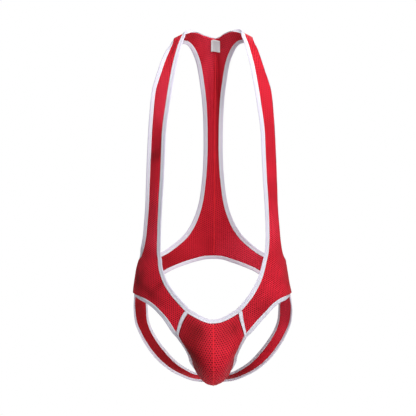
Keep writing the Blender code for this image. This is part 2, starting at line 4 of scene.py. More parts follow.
import bmesh
import bpy
import numpy as np
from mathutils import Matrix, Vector


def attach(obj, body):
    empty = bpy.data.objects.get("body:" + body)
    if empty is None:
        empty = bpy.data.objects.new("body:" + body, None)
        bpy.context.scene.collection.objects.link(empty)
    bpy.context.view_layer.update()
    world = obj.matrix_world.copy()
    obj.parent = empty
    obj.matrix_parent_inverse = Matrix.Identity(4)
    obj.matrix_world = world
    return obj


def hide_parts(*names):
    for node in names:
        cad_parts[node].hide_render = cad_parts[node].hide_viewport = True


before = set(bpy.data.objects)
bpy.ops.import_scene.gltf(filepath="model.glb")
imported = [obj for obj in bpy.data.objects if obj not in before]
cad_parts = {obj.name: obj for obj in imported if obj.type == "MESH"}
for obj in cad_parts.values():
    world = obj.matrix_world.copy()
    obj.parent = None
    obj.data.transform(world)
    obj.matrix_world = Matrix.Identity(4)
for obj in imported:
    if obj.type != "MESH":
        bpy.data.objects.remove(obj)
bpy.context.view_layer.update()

# ---------------------------------------------------------------------------------------------
# The room: a pale floor well below the garment that fades into a white surround, two soft keys in
# front on the garment's left, one high and one level, a weak fill on its right and a rim behind.
FLOOR_DROP = 0.90
FLOOR_REACH = 40.0
FLOOR_SIDES = 64
FLOOR_FADE = (0.35, 0.95)
FLOOR_PALE = (0.80, 0.80, 0.80, 1.0)
FLOOR_ROUGHNESS = 0.9
SURROUND_WHITE = (1.0, 1.0, 1.0, 1.0)
SURROUND_LIGHT = 0.14
LIGHTS = [
    # name         place                 aimed at             size  watts
    ("high_key", (0.60, -1.04, 1.00), (0.0, 0.0, -0.20), 0.5, 24.0),
    ("low_key", (1.10, -1.60, 0.00), (0.0, 0.0, -0.35), 0.6, 9.5),
    ("weak_fill", (-1.10, -0.75, 1.20), (0.0, 0.0, -0.10), 0.6, 8.5),
    ("back_rim", (0.5, 2.0, 0.9), (0.0, 0.0, -0.35), 1.2, 18.0),
]
CAMERA_PLACE = (-0.0104, -3.2, -0.354)
CAMERA_TILT = 90.0
CAMERA_LENS = 138.5
CAMERA_SENSOR = 36.0


def add_node(tree, kind, settings=None, sockets=None):
    """Add a node with its settings, its sockets linked to other nodes' or given plain values."""
    node = tree.nodes.new(kind)
    for name, setting in (settings or {}).items():
        setattr(node, name, setting)
    for name, value in (sockets or {}).items():
        if isinstance(value, bpy.types.NodeSocket):
            tree.links.new(value, node.inputs[name])
        else:
            node.inputs[name].default_value = value
    return node


def put_in(name, data):
    """Put a new object with this data in the scene."""
    made = bpy.data.objects.new(name, data)
    bpy.context.scene.collection.objects.link(made)
    return made


def stage_look(tree, shown, given):
    """Join two shaders so that the camera sees the first and everything else the second."""
    rays = add_node(tree, "ShaderNodeLightPath")
    mix = add_node(tree, "ShaderNodeMixShader", sockets={
        "Fac": rays.outputs["Is Camera Ray"], 1: given, 2: shown})
    return mix.outputs["Shader"]


def floor_look():
    """Pale under the garment, fading outwards to the white of the surround."""
    made = bpy.data.materials.new("pale_floor")
    made.use_nodes = True
    tree = made.node_tree
    pale = tree.nodes["Principled BSDF"]
    pale.inputs["Base Color"].default_value = FLOOR_PALE
    pale.inputs["Roughness"].default_value = FLOOR_ROUGHNESS
    white = add_node(tree, "ShaderNodeEmission")
    where = add_node(tree, "ShaderNodeTexCoord")
    flat = add_node(tree, "ShaderNodeVectorMath", {"operation": "MULTIPLY"},
                    {0: where.outputs["Object"], 1: (1.0, 1.0, 0.0)})
    reach = add_node(tree, "ShaderNodeVectorMath", {"operation": "LENGTH"},
                     {0: flat.outputs["Vector"]})
    fade = add_node(tree, "ShaderNodeMapRange", {"interpolation_type": "SMOOTHSTEP"}, {
        "Value": reach.outputs["Value"], "From Min": FLOOR_FADE[0], "From Max": FLOOR_FADE[1]})
    faded = add_node(tree, "ShaderNodeMixShader", sockets={
        "Fac": fade.outputs["Result"], 1: pale.outputs["BSDF"], 2: white.outputs["Emission"]})
    both = stage_look(tree, faded.outputs["Shader"], pale.outputs["BSDF"])
    tree.links.new(both, tree.nodes["Material Output"].inputs["Surface"])
    return made


def lay_floor():
    maker = bmesh.new()
    bmesh.ops.create_circle(maker, cap_ends=True, radius=FLOOR_REACH, segments=FLOOR_SIDES)
    bmesh.ops.translate(maker, verts=maker.verts, vec=(0.0, 0.0, -FLOOR_DROP))
    mesh = bpy.data.meshes.new("studio_floor")
    maker.to_mesh(mesh)
    maker.free()
    mesh.materials.append(floor_look())
    put_in("studio_floor", mesh)


def hang_light(name, place, aim, size, watts):
    lamp = bpy.data.lights.new(name, "AREA")
    lamp.size = size
    lamp.energy = watts
    light = put_in(name, lamp)
    light.location = place
    light.rotation_euler = (Vector(aim) - Vector(place)).to_track_quat("-Z", "Y").to_euler()


def light_surround():
    world = bpy.data.worlds.new("white_surround")
    bpy.context.scene.world = world
    world.use_nodes = True
    tree = world.node_tree
    seen = tree.nodes["Background"]
    seen.inputs["Color"].default_value = SURROUND_WHITE
    lit = add_node(tree, "ShaderNodeBackground", sockets={
        "Color": SURROUND_WHITE, "Strength": SURROUND_LIGHT})
    both = stage_look(tree, seen.outputs["Background"], lit.outputs["Background"])
    tree.links.new(both, tree.nodes["World Output"].inputs["Surface"])


def place_camera():
    lens = bpy.data.cameras.new("camera")
    lens.lens = CAMERA_LENS
    lens.sensor_width = CAMERA_SENSOR
    camera = put_in("camera", lens)
    camera.location = CAMERA_PLACE
    camera.rotation_euler = (math.radians(CAMERA_TILT), 0.0, 0.0)
    bpy.context.scene.camera = camera


lay_floor()
light_surround()
for lamp_values in LIGHTS:
    hang_light(*lamp_values)
place_camera()
bpy.context.scene.view_settings.view_transform = "Standard"

# ---------------------------------------------------------------------------------------------
# Pouch halves: two curved pieces of red stretch mesh, sewn down the middle into a cup, with a
# narrow overlocked ridge over that seam. Their outer edges go into the seam tapes and the binding.
MM = 0.001
CLOTH_WALL = 1.0       # doubled mesh cloth, without its soft faces
POUCH_CENTRE_GAP = 0.8
STEPS_PER_ROW = 2
POUCH_CELLS = 7
FINER = 5              # fine rows and columns for each one of the cut
TOP_CURVE = 1.6
CUP_ANGLE = 78.0
SHEET_MIDDLE = Vector((0.0, 0.0, -560.0))
UNDER_TAPE = 1.0       # the cloth runs on this far into its tape
FADE_ROWS = 10         # creases fade out over this many fine rows at a sheet's ends,
FADE_SHARE = 0.16      # and over this share of its width at its sides
SIDES = {"R": -1, "L": 1}
POUCH = [
    # centre y, z     edge x, y, z           fullness drift of both edges in x
    (-99.0, -578.8, 52.0, -96.4, -556.6, 0.00, -0.5),
    (-107.0, -590.0, 55.2, -94.9, -565.5, 0.15, -2.6),
    (-116.0, -603.0, 58.4, -92.8, -576.5, 0.35, -3.8),
    (-124.5, -617.0, 61.2, -90.6, -588.0, 0.60, -4.0),
    (-131.0, -631.0, 63.7, -88.2, -601.5, 0.80, -3.9),
    (-134.5, -645.0, 57.8, -84.0, -612.0, 0.95, -3.0),
    (-134.0, -659.0, 51.0, -79.0, -624.0, 1.00, -2.0),
    (-129.5, -671.0, 45.5, -71.0, -636.0, 0.95, -1.5),
    (-120.5, -682.0, 41.5, -61.0, -648.5, 0.85, -1.0),
    (-106.0, -692.0, 40.0, -49.0, -661.0, 0.80, -0.5),
    (-87.0, -698.5, 36.5, -35.0, -672.0, 0.65, 0.0),
    (-64.0, -701.0, 30.0, -20.0, -682.5, 0.55, 0.0),
    (-38.0, -701.0, 21.5, -6.0, -690.5, 0.50, 0.0),
    (-12.0, -699.5, 15.5, 4.0, -695.5, 0.50, 0.0),
    (19.5, -698.4, 13.0, 19.5, -697.9, 0.50, 0.0),
]
POUCH_LEG_ROWS = (4, 13)
# Soft ridges (+) and troughs (-) in the cloth, placed by its own sizes in mm: `over` is across the
# piece from its first edge, `down` is along it from its first row, `lean` turns the crease, and the
# last column is painted shade (+, a darker red) or painted light (-, a paler red) laid on the cloth
# there.
POUCH_CREASES = [
    # side over  down   run   across lean  push  shade (+ painted shade, - painted light)
    (-1, 22.0, 62.0, 26.0, 9.0, 14.0, 0.5, 0.0),
    (-1, 44.0, 40.0, 18.0, 8.0, -24.0, -0.3, 0.1),
    (1, 30.0, 74.0, 30.0, 10.0, -10.0, 0.5, -0.1),
    (1, 48.0, 34.0, 16.0, 5.0, 30.0, -0.7, 0.2),
    (-1, 14.0, 150.0, 30.0, 6.0, 0.0, 0.7, 0.0),
    (1, 12.0, 165.0, 24.0, 5.0, 8.0, -0.6, 0.1),
    (-1, 46.0, 85.0, 75.0, 40.0, 0.0, 0.0, 0.85),
    (-1, 34.0, 14.0, 26.0, 40.0, 0.0, 0.0, 0.2),
    (-1, 30.0, 24.0, 16.0, 20.0, 60.0, -0.6, 0.25),
    (1, 26.0, 110.0, 34.0, 14.0, -16.0, 1.0, -0.3),
    (1, 66.0, 120.0, 46.0, 12.0, 0.0, -0.5, 0.4),
    (-1, 62.0, 120.0, 46.0, 12.0, 0.0, -0.2, 0.2),
    (1, 40.0, 25.0, 36.0, 50.0, 0.0, 0.0, 0.45),
]

Sheet = namedtuple("Sheet", "points outs")


def smooth_at(knots, values, at):
    """Value at `at` of a smooth curve through the knots that never overshoots them."""
    steps = [b - a for a, b in zip(knots, knots[1:])]
    slopes = [(b - a) / h for a, b, h in zip(values, values[1:], steps)]
    k = 0
    while k < len(steps) - 1 and at > knots[k + 1]:
        k += 1

    def tangent(i):
        if i == 0 or i == len(slopes) or slopes[i - 1] * slopes[i] <= 0:
            return 0.0
        return 2 * slopes[i - 1] * slopes[i] / (slopes[i - 1] + slopes[i])

    t = min(max((at - knots[k]) / steps[k], 0.0), 1.0)
    start = values[k] * (1 + 2 * t) * (1 - t) ** 2 + tangent(k) * steps[k] * t * (1 - t) ** 2
    end = values[k + 1] * t * t * (3 - 2 * t) + tangent(k + 1) * steps[k] * t * t * (t - 1)
    return start + end


def row_at(table, at):
    """Every column of a table at a row number, which may lie between two rows."""
    numbers = range(len(table))
    return [smooth_at(numbers, [row[c] for row in table], at) for c in range(len(table[0]))]


def sheet_with_outs(points):
    """A sheet whose ways out are worked out from its points, away from SHEET_MIDDLE."""
    outs = []
    for r, row in enumerate(points):
        outs.append([])
        for c, point in enumerate(row):
            down = points[min(r + 1, len(points) - 1)][c] - points[max(r - 1, 0)][c]
            across = row[min(c + 1, len(row) - 1)] - row[max(c - 1, 0)]
            out = down.cross(across).normalized()
            outs[-1].append(out if out.dot(point - SHEET_MIDDLE) > 0 else -out)
    return Sheet(points, outs)


def pouch_sheet(side):
    """Points of a pouch half: rows from the centre seam to the side edge, neckline first."""
    grid = []
    for step in range((len(POUCH) - 1) * STEPS_PER_ROW + 1):
        values = row_at(POUCH, step / STEPS_PER_ROW)
        centre_y, centre_z, edge_x, edge_y, edge_z, fullness, drift = values
        row = []
        for cell in range(POUCH_CELLS + 1):
            t = cell / POUCH_CELLS
            arc = math.radians(CUP_ANGLE) * t
            full_x = math.sin(arc) / math.sin(math.radians(CUP_ANGLE))
            full_back = (1 - math.cos(arc)) / (1 - math.cos(math.radians(CUP_ANGLE)))
            x = t + (full_x - t) * fullness
            back = t ** TOP_CURVE + (full_back - t ** TOP_CURVE) * fullness
            row.append(Vector((
                side * (POUCH_CENTRE_GAP / 2 + (edge_x - POUCH_CENTRE_GAP) * x) + drift * x,
                centre_y + (edge_y - centre_y) * back,
                centre_z + (edge_z - centre_z) * back,
            )))
        grid.append(row)
    return sheet_with_outs(grid)


def spline(values, finer, closed=False):
    """A smooth run through every row of values, with `finer` steps between two rows."""
    count = len(values)
    if closed:
        padded = np.concatenate([values[-1:], values, values[:2]])
        spans = count
    else:
        padded = np.concatenate([2 * values[:1] - values[1:2], values,
                                 2 * values[-1:] - values[-2:-1]])
        spans = count - 1
    run = []
    for k in range(spans):
        a, b, c, d = padded[k:k + 4]
        for step in range(finer):
            t = step / finer
            run.append(0.5 * (2 * b + (c - a) * t + (2 * a - 5 * b + 4 * c - d) * t * t
                              + (3 * b - a - 3 * c + d) * t ** 3))
    if not closed:
        run.append(values[-1])
    return np.array(run)


def unit(ways):
    """Each way of a run, one unit long."""
    return ways / np.linalg.norm(ways, axis=-1, keepdims=True)


def fine_grid(points):
    """A sheet's points as a fine grid of rows and columns, in mm."""
    coarse = np.array([[tuple(p) for p in row] for row in points])
    rows = spline(coarse, FINER)
    return spline(rows.swapaxes(0, 1), FINER).swapaxes(0, 1)


def grid_outs(grid, toward):
    """Unit ways out of a fine grid, on the side that `toward` points to at its middle."""
    down = np.gradient(grid, axis=0)
    across = np.gradient(grid, axis=1)
    outs = np.cross(down, across)
    outs /= np.linalg.norm(outs, axis=2, keepdims=True) + 1e-9
    middle = outs[len(outs) // 2, outs.shape[1] // 2]
    return outs if middle @ np.array(toward) > 0 else -outs


def fine_sheet(sheet):
    """A sheet's fine grid, with the ways out of it on the same side as the sheet's own."""
    grid = fine_grid(sheet.points)
    middle = sheet.outs[len(sheet.outs) // 2]
    return grid, grid_outs(grid, middle[len(middle) // 2])


def run_lengths(points):
    """Length along a run of points at each of them."""
    steps = np.linalg.norm(np.diff(points, axis=0), axis=1)
    return np.concatenate([[0.0], np.cumsum(steps)])


def grid_cut(grid, start=0.0):
    """Place of each point on the flat cloth, in mm: over along its row, down the middle column."""
    over = np.array([run_lengths(row) for row in grid]) + start
    down = run_lengths(grid[:, grid.shape[1] // 2])[:, None] + np.zeros_like(over)
    return np.stack([over, down, np.zeros_like(over)], axis=2)


def edge_fade(shape):
    """1 inside a sheet, falling to 0 at its edges, so that its creases end at its seams."""
    rows, columns = np.arange(shape[0]), np.linspace(0.0, 1.0, shape[1])
    down = np.minimum(np.minimum(rows, rows[::-1]) / FADE_ROWS, 1.0)
    over = np.minimum(np.minimum(columns, 1 - columns) / FADE_SHARE, 1.0)
    return down[:, None] * (over * over * (3 - 2 * over))[None, :]


def crease_near(right, below, run, across, lean):
    """1 on the middle of a crease that a place lies right of and below, falling to 0 round it."""
    angle = math.radians(lean)
    along = below * math.cos(angle) + right * math.sin(angle)
    beside = right * math.cos(angle) - below * math.sin(angle)
    return np.exp(-(along / run) ** 2 - (beside / across) ** 2)


def creased(grid, outs, cut, creases, side):
    """The grid with its soft ridges and troughs pushed in; the cut keeps the painted shade (+) or
    painted light (-) there.
    """
    push = np.zeros(grid.shape[:2])
    for crease_side, over, down, run, across, lean, height, painted_shade_or_light in creases:
        if crease_side == side:
            near = crease_near(cut[..., 0] - over, cut[..., 1] - down, run, across, lean)
            push += height * near
            # The cut's third value is painted shade (+) or painted light (-) for the cloth's
            # colour.
            cut[..., 2] += painted_shade_or_light * near
    return grid + outs * (push * edge_fade(grid.shape))[..., None]


def let_under(grid, rows=(False, False), columns=(True, True)):
    """The grid with its edges run on a little, into the tapes that bind them."""
    grid = grid.copy()
    for lines, wanted in ((grid.swapaxes(0, 1), columns), (grid, rows)):
        for edge, inside, run_on in ((0, 1, wanted[0]), (-1, -2, wanted[1])):
            if run_on:
                lines[edge] += unit(lines[edge] - lines[inside]) * UNDER_TAPE
    return grid


def plain_object(name, verts, faces, look, **point_values):
    """A smooth named object with its values for the material stored on its points."""
    mesh = bpy.data.meshes.new(name)
    mesh.from_pydata([tuple(v) for v in verts], [], faces)
    for value_name, values in point_values.items():
        kind = "FLOAT_VECTOR" if np.ndim(values) == 2 else "FLOAT"
        layer = mesh.attributes.new(value_name, kind, "POINT")
        layer.data.foreach_set("vector" if kind == "FLOAT_VECTOR" else "value",
                               np.asarray(values, dtype=np.float32).ravel())
    mesh.materials.append(look)
    mesh.polygons.foreach_set("use_smooth", [True] * len(mesh.polygons))
    mesh.update()
    return put_in(name, mesh)


def cloth_shell(name, grid, outs, cut, wall, look):
    """A thin closed cloth shell: its outer face, its inner face and the rim between them."""
    rows, columns = grid.shape[:2]
    half = outs * wall / 2
    verts = np.concatenate([(grid + half).reshape(-1, 3), (grid - half).reshape(-1, 3)]) * MM
    count = rows * columns
    faces = []
    for r in range(rows - 1):
        for c in range(columns - 1):
            k = r * columns + c
            quad = (k, k + 1, k + columns + 1, k + columns)
            faces.append(quad)
            faces.append(tuple(count + v for v in quad[::-1]))
    rim = ([(0, c) for c in range(columns)] + [(r, columns - 1) for r in range(1, rows)]
           + [(rows - 1, c) for c in range(columns - 2, -1, -1)]
           + [(r, 0) for r in range(rows - 2, 0, -1)])
    rim = [r * columns + c for r, c in rim]
    for k, n in zip(rim, rim[1:] + rim[:1]):
        faces.append((n, k, count + k, count + n))
    first = verts[list(faces[0])]
    facing = np.cross(first[1] - first[0], first[2] - first[0]) @ outs[0, 0]
    if facing < 0:
        faces = [face[::-1] for face in faces]
    inside = np.concatenate([np.zeros(count), np.ones(count)])
    twice = np.concatenate([cut.reshape(-1, 3)] * 2)
    return plain_object(name, verts, faces, look, cut=twice, inside=inside)


def cloth_area(grid):
    """Area of one layer of a sheet, in square metres."""
    a, b, c, d = grid[:-1, :-1], grid[:-1, 1:], grid[1:, 1:], grid[1:, :-1]
    both = (np.linalg.norm(np.cross(b - a, c - a), axis=2)
            + np.linalg.norm(np.cross(c - a, d - a), axis=2)) / 2
    return float(both.sum()) * MM * MM


def state(piece, node=None):
    """State that a piece belongs to the one body, and hide the solid it stands for."""
    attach(piece, "root")
    if node:
        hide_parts(node)


def lay_cloth(name, node, grid, outs, cut, creases, side, look, rests_on, **edges):
    """Make a cloth piece: creased, and its edges run into their tapes.

    Its mean width by its length along its middle is worked out, and not kept. The made grid is
    handed back.
    """
    grid = let_under(creased(grid, outs, cut, creases, side), **edges)
    piece = cloth_shell(name, grid, outs, cut, CLOTH_WALL, look)
    state(piece, node)
    length = float(run_lengths(grid[:, grid.shape[1] // 2])[-1]) * MM
    cloth_area(grid) / length
    return grid


class Value:
    """A number that changes over a piece's surface, for a material's sums."""

    def __init__(self, look, socket):
        self.look = look
        self.socket = socket

    def sum(self, operation, first, second=0.0):
        node = self.look.add("ShaderNodeMath", {"operation": operation}, {0: first, 1: second})
        return Value(self.look, node.outputs[0])

    def __add__(self, other):
        return self.sum("ADD", self, other)

    def __sub__(self, other):
        return self.sum("SUBTRACT", self, other)

    def __rsub__(self, other):
        return self.sum("SUBTRACT", other, self)

    def __mul__(self, other):
        return self.sum("MULTIPLY", self, other)

    def __truediv__(self, other):
        return self.sum("DIVIDE", self, other)

    def __pow__(self, other):
        return self.sum("POWER", self, other)

    def floor(self):
        return self.sum("FLOOR", self)

    def fract(self):
        return self.sum("FRACT", self)

    def odd(self):
        return self.sum("FLOORED_MODULO", self, 2.0)

    def size(self):
        return self.sum("ABSOLUTE", self)

    def sine(self):
        return self.sum("SINE", self)

    def waves(self, step):
        """Even waves from 0 to 1, one to each `step` in mm."""
        return (self * (2 * math.pi / step)).sine() * 0.5 + 0.5

    def rise(self, low, high):
        """0 below `low`, 1 above `high` and a soft step between."""
        node = self.look.add("ShaderNodeMapRange", {"interpolation_type": "SMOOTHSTEP"},
                             {"Value": self, "From Min": low, "From Max": high})
        return Value(self.look, node.outputs["Result"])


class Look:
    """A cloth's material, made of nodes that read the piece's own place on the flat cloth."""

    def __init__(self, name, roughness, sheen, specular):
        self.material = bpy.data.materials.new(name)
        self.material.use_nodes = True
        self.tree = self.material.node_tree
        self.shader = self.tree.nodes["Principled BSDF"]
        self.shader.inputs["Roughness"].default_value = roughness
        self.shader.inputs["Sheen Weight"].default_value = sheen
        self.shader.inputs["Sheen Roughness"].default_value = 0.45
        self.shader.inputs["Specular IOR Level"].default_value = specular

    def feed(self, socket, value):
        self.tree.links.new(value.socket, socket)

    def add(self, kind, settings=None, sockets=None):
        plain = {name: value.socket if isinstance(value, Value) else value
                 for name, value in (sockets or {}).items()}
        return add_node(self.tree, kind, settings, plain)

    def place(self):
        """Over and down on the flat cloth, in mm, and the painted shade (+) or painted light (-)
        there.
        """
        found = self.add("ShaderNodeAttribute", {"attribute_name": "cut"})
        parts = self.add("ShaderNodeSeparateXYZ", sockets={0: found.outputs["Vector"]})
        return [Value(self, socket) for socket in parts.outputs]

    def attribute(self, name):
        found = self.add("ShaderNodeAttribute", {"attribute_name": name})
        return Value(self, found.outputs["Fac"])

    def noise(self, scale, detail=2.0):
        """Soft uneven values from 0 to 1, `scale` lumps to the metre."""
        where = self.add("ShaderNodeTexCoord").outputs["Object"]
        node = self.add("ShaderNodeTexNoise", sockets={
            "Vector": where, "Scale": scale, "Detail": detail})
        return Value(self, node.outputs["Fac"])

    def mix(self, share, first, second):
        node = self.add("ShaderNodeMix", {"data_type": "RGBA"}, {0: share, 6: first, 7: second})
        return node.outputs[2]

    def colour(self, shade):
        self.tree.links.new(shade, self.shader.inputs["Base Color"])

    def bump(self, height, distance, strength):
        node = self.add("ShaderNodeBump", sockets={
            "Height": height, "Distance": distance, "Strength": strength})
        self.tree.links.new(node.outputs["Normal"], self.shader.inputs["Normal"])


MESH_RED = (0.82, 0.020, 0.045, 1.0)
MESH_DEEP = (0.52, 0.009, 0.019, 1.0)
# Painted light: a paler red laid on the cloth where the creases' last value is negative.
MESH_PAINTED_LIGHT = (1.00, 0.045, 0.090, 1.0)
# Painted shade: a darker red laid on the cloth in troughs and shaded bands, where the creases' last
# value is positive.
MESH_PAINTED_SHADE = (0.24, 0.004, 0.008, 1.0)
HOLE_RED = (0.055, 0.002, 0.003, 1.0)
INNER_HOLE_RED = (0.20, 0.004, 0.007, 1.0)
SEAM_RED = (0.92, 0.022, 0.040, 1.0)
SEAM_DEEP = (0.66, 0.012, 0.024, 1.0)
SEAM_THREAD_STEP = 1.1
INNER_RIB_STEP = 3.0
KNIT_OVER = 7.8        # turns of the fine knit's waves, over and down the cloth
KNIT_DOWN = 9.5
# A seam ridge's section, as shares of its width and height.
RIDGE_PROFILE = [(-0.5, 0.0), (-0.36, 0.72), (-0.12, 1.0), (0.12, 1.0), (0.36, 0.72), (0.5, 0.0)]
POUCH_RIDGE = (3.0, 1.1)    # width, height


def mesh_look(name, hole_over, hole_down, hole_radius, by_column=False):
    """Stretch mesh: staggered round holes in a fine knit, all in mm on the flat cloth."""
    look = Look(name, roughness=0.62, sheen=0.02, specular=0.10)
    over, down, painted_shade_or_light = look.place()
    inside = look.attribute("inside").rise(0.3, 0.7)
    first, second = over / hole_over, down / hole_down
    if by_column:
        second = second + first.floor().odd() * 0.5
    else:
        first = first + second.floor().odd() * 0.5
    beside = (first.fract() - 0.5) * hole_over
    below = (second.fract() - 0.5) * hole_down
    distance = (beside * beside + below * below) ** 0.5 + (look.noise(90.0) - 0.5) * 0.25
    open_mesh = 1.0 - distance.rise(hole_radius * 0.60, hole_radius * 1.30)
    knit = (over * KNIT_OVER).sine() * (down * KNIT_DOWN).sine()
    blotch = look.noise(22.0, detail=3.0).rise(0.30, 0.72)
    plain = look.mix(blotch * 0.4, MESH_RED, MESH_DEEP)
    plain = look.mix(knit * 0.06 + 0.06, plain, MESH_DEEP)
    # Painted light: paler red where the creases' last value is negative.
    plain = look.mix((painted_shade_or_light * -1.0).rise(0.0, 1.0), plain, MESH_PAINTED_LIGHT)
    # Painted shade: darker red over troughs and shaded bands.
    plain = look.mix(painted_shade_or_light.rise(0.0, 1.0), plain, MESH_PAINTED_SHADE)
    outer = look.mix(open_mesh * 0.82, plain, HOLE_RED)
    inner = look.mix(down.waves(INNER_RIB_STEP) * 0.35, plain, MESH_DEEP)
    inner = look.mix(open_mesh * 0.60, inner, INNER_HOLE_RED)
    look.colour(look.mix(inside, outer, inner))
    look.feed(look.shader.inputs["Roughness"], open_mesh * 0.25 + 0.58)
    look.bump(knit * 0.10 - open_mesh, distance=0.0006, strength=0.7)
    return look.material


def seam_look():
    """Overlocked seam: close red thread laid across the ridge, a little brighter than the mesh."""
    look = Look("red_seam_thread", roughness=0.60, sheen=0.04, specular=0.15)
    _, down, _ = look.place()
    turns = down.waves(SEAM_THREAD_STEP)
    look.colour(look.mix(turns * 0.5, SEAM_RED, SEAM_DEEP))
    look.bump(turns, distance=0.0003, strength=0.7)
    return look.material


pouch_mesh = mesh_look("pouch_mesh", hole_over=5.0, hole_down=4.4, hole_radius=1.4)
red_seam = seam_look()


def tube_faces(rings, count, closed=False):
    """Faces round a run of rings of `count` points, capped at its ends or closed on itself."""
    faces = []
    for ring in range(rings if closed else rings - 1):
        here, after = ring * count, (ring + 1) % rings * count
        for c in range(count):
            n = (c + 1) % count
            faces.append((here + c, here + n, after + n, after + c))
    if not closed:
        faces.append(tuple(range(count))[::-1])
        faces.append(tuple((rings - 1) * count + c for c in range(count)))
    return faces


def seam_ridge(name, line, outs, width, height, lift=0.0):
    """A narrow rounded ridge of overlocked thread along a seam, thin and closed."""
    across = unit(np.cross(unit(np.gradient(line, axis=0)), outs))
    verts, cut = [], []
    for place, way, out, at in zip(line, across, outs, run_lengths(line)):
        for a, o in RIDGE_PROFILE:
            verts.append((place + way * a * width + out * (lift + o * height)) * MM)
            cut.append((a * width, at, 0.0))
    faces = tube_faces(len(line), len(RIDGE_PROFILE))
    made = plain_object(name, verts, faces, red_seam, cut=np.array(cut))
    point_outwards(made)
    state(made)


def point_outwards(piece):
    """Turn a closed piece's faces outwards."""
    maker = bmesh.new()
    maker.from_mesh(piece.data)
    bmesh.ops.recalc_face_normals(maker, faces=maker.faces)
    if maker.calc_volume(signed=True) < 0:
        bmesh.ops.reverse_faces(maker, faces=maker.faces)
    maker.to_mesh(piece.data)
    maker.free()


pouches = {side: pouch_sheet(side) for side in (-1, 1)}
for hand, side in SIDES.items():
    grid, outs = fine_sheet(pouches[side])
    cut = grid_cut(grid)
    cut[..., 1] = run_lengths(grid[:, 0])[:, None]
    grid = lay_cloth(f"pouch_cloth_{hand}", f"pouch_{hand}", grid, outs, cut, POUCH_CREASES, side,
                     pouch_mesh, "neckline_binding", rows=(True, False), columns=(False, True))
    if side == 1:
        centre_line = grid[1:, 0] - [POUCH_CENTRE_GAP / 2, 0.0, 0.0]
        centre_outs = unit(outs[1:, 0] * [0.0, 1.0, 1.0])
seam_ridge("pouch_centre_seam", centre_line, centre_outs, *POUCH_RIDGE)

# ---------------------------------------------------------------------------------------------
# Front panels: one long piece a side, cut in one from the narrow shoulder strap to the hip and the
# pouch. The same mesh, held out in its worn form; every edge goes into a tape or a seam.
PANEL_CELLS = 4
SEAM_GAP = 0.3
POUCH_SEAM_GAP = 1.8
POUCH_SEAM_CURVE = 1.5
DOME_DROP = 200.0
DOME_RISE = 217.0
RIGHT_LIFT = 2.5
LIFT_REACH = 130.0
MM_PER_DEGREE = 2.3
LEVEL_TOP = 300.0      # above this the cloth goes over the shoulder
OVER_SHOULDER = 60.0   # down to this drop, lengths down the cloth are those along it,
BELOW_SHOULDER = 180.0 # and from this one on they are plain drops
FIGURE = [
    # drop  half  front  back  round  sway
    (-30.0, 230.0, 115.0, 115.0, 1.20, 0.0),
    (0.0, 230.0, 115.0, 115.0, 1.20, 0.0),
    (60.0, 205.0, 115.0, 115.0, 1.30, 0.0),
    (130.0, 178.0, 115.0, 114.0, 1.50, 0.0),
    (200.0, 165.0, 114.0, 112.0, 1.65, 0.0),
    (300.0, 156.0, 112.0, 106.0, 1.85, 0.0),
    (400.0, 145.5, 106.0, 98.0, 2.05, 0.0),
    (450.0, 146.0, 104.0, 98.0, 2.15, -1.5),
    (475.0, 150.5, 103.0, 101.0, 2.20, -3.0),
    (500.0, 154.5, 102.0, 106.0, 2.25, -3.0),
    (530.0, 159.0, 101.0, 112.0, 2.30, -1.5),
    (560.0, 160.0, 100.0, 115.0, 2.30, 0.0),
    (620.0, 160.0, 96.0, 112.0, 2.30, 0.0),
    (700.0, 158.0, 92.0, 100.0, 2.30, 0.0),
]
FRONT_PANEL = [
    # inner turn, drop   outer turn, drop
    (27.2, -12.0, 31.0, -12.0),
    (27.2, 12.0, 31.3, 12.0),
    (27.7, 38.0, 32.4, 40.0),
    (29.2, 56.0, 34.4, 57.0),
    (31.0, 80.0, 37.0, 81.0),
    (33.2, 105.0, 40.2, 105.0),
    (35.6, 134.0, 44.8, 132.0),
    (38.2, 165.0, 47.6, 165.0),
    (41.2, 205.0, 50.0, 205.0),
    (42.0, 249.0, 51.7, 249.0),
    (43.2, 300.0, 53.8, 300.0),
    (45.7, 345.0, 57.2, 345.0),
    (47.9, 390.0, 62.5, 390.0),
    (47.8, 414.0, 64.5, 414.0),
    (47.0, 437.0, 68.5, 437.0),
    (46.0, 448.0, 74.0, 450.0),
    (44.5, 457.0, 82.0, 457.0),
    (42.5, 468.0, 90.0, 460.0),
    (38.5, 486.0, 90.0, 480.0),
    (34.0, 503.0, 90.0, 501.0),
    (30.0, 515.0, 90.0, 520.0),
    (26.0, 527.0, 71.0, 525.0),
    (22.5, 537.0, 54.7, 531.0),
    (19.2, 547.0, 43.9, 541.6),
    (16.1, 556.0, 37.6, 553.0),
    (17.2, 565.0, 32.3, 564.3),
    (18.4, 576.0, 27.9, 576.0),
    (19.3, 587.0, 24.3, 587.0),
    (20.4, 600.0, 21.6, 597.5),
]
FRONT_NECK_ROWS = (0, 24)
FRONT_SEAM_ROWS = (24, 28)
FRONT_ARMHOLE_ROWS = (0, 17)
FRONT_LEG_ROWS = (20, 28)
FOLDS = [
    # panel        side turn  drop  run  across lean push
    ("front_panel", -1, 35.0, 62.0, 26.0, 4.0, 12.0, -2.4),
    ("front_panel", -1, 37.5, 72.0, 30.0, 4.0, 10.0, 1.6),
    ("front_panel", -1, 47.0, 255.0, 60.0, 9.0, 4.0, 1.2),
    ("front_panel", 1, 48.0, 330.0, 70.0, 10.0, 6.0, 1.2),
    ("front_panel", -1, 62.0, 500.0, 30.0, 12.0, -50.0, 1.5),
    ("front_panel", 1, 66.0, 492.0, 30.0, 12.0, 50.0, 1.5),
    ("back_panel", -1, 3.0, 190.0, 120.0, 3.2, 0.0, -1.8),
    ("back_panel", 1, 6.5, 200.0, 150.0, 5.0, 0.0, 5.0),
    ("back_panel", -1, 45.0, 470.0, 30.0, 9.0, 60.0, 1.4),
    ("back_panel", 1, 40.0, 468.0, 30.0, 9.0, -60.0, 1.4),
]
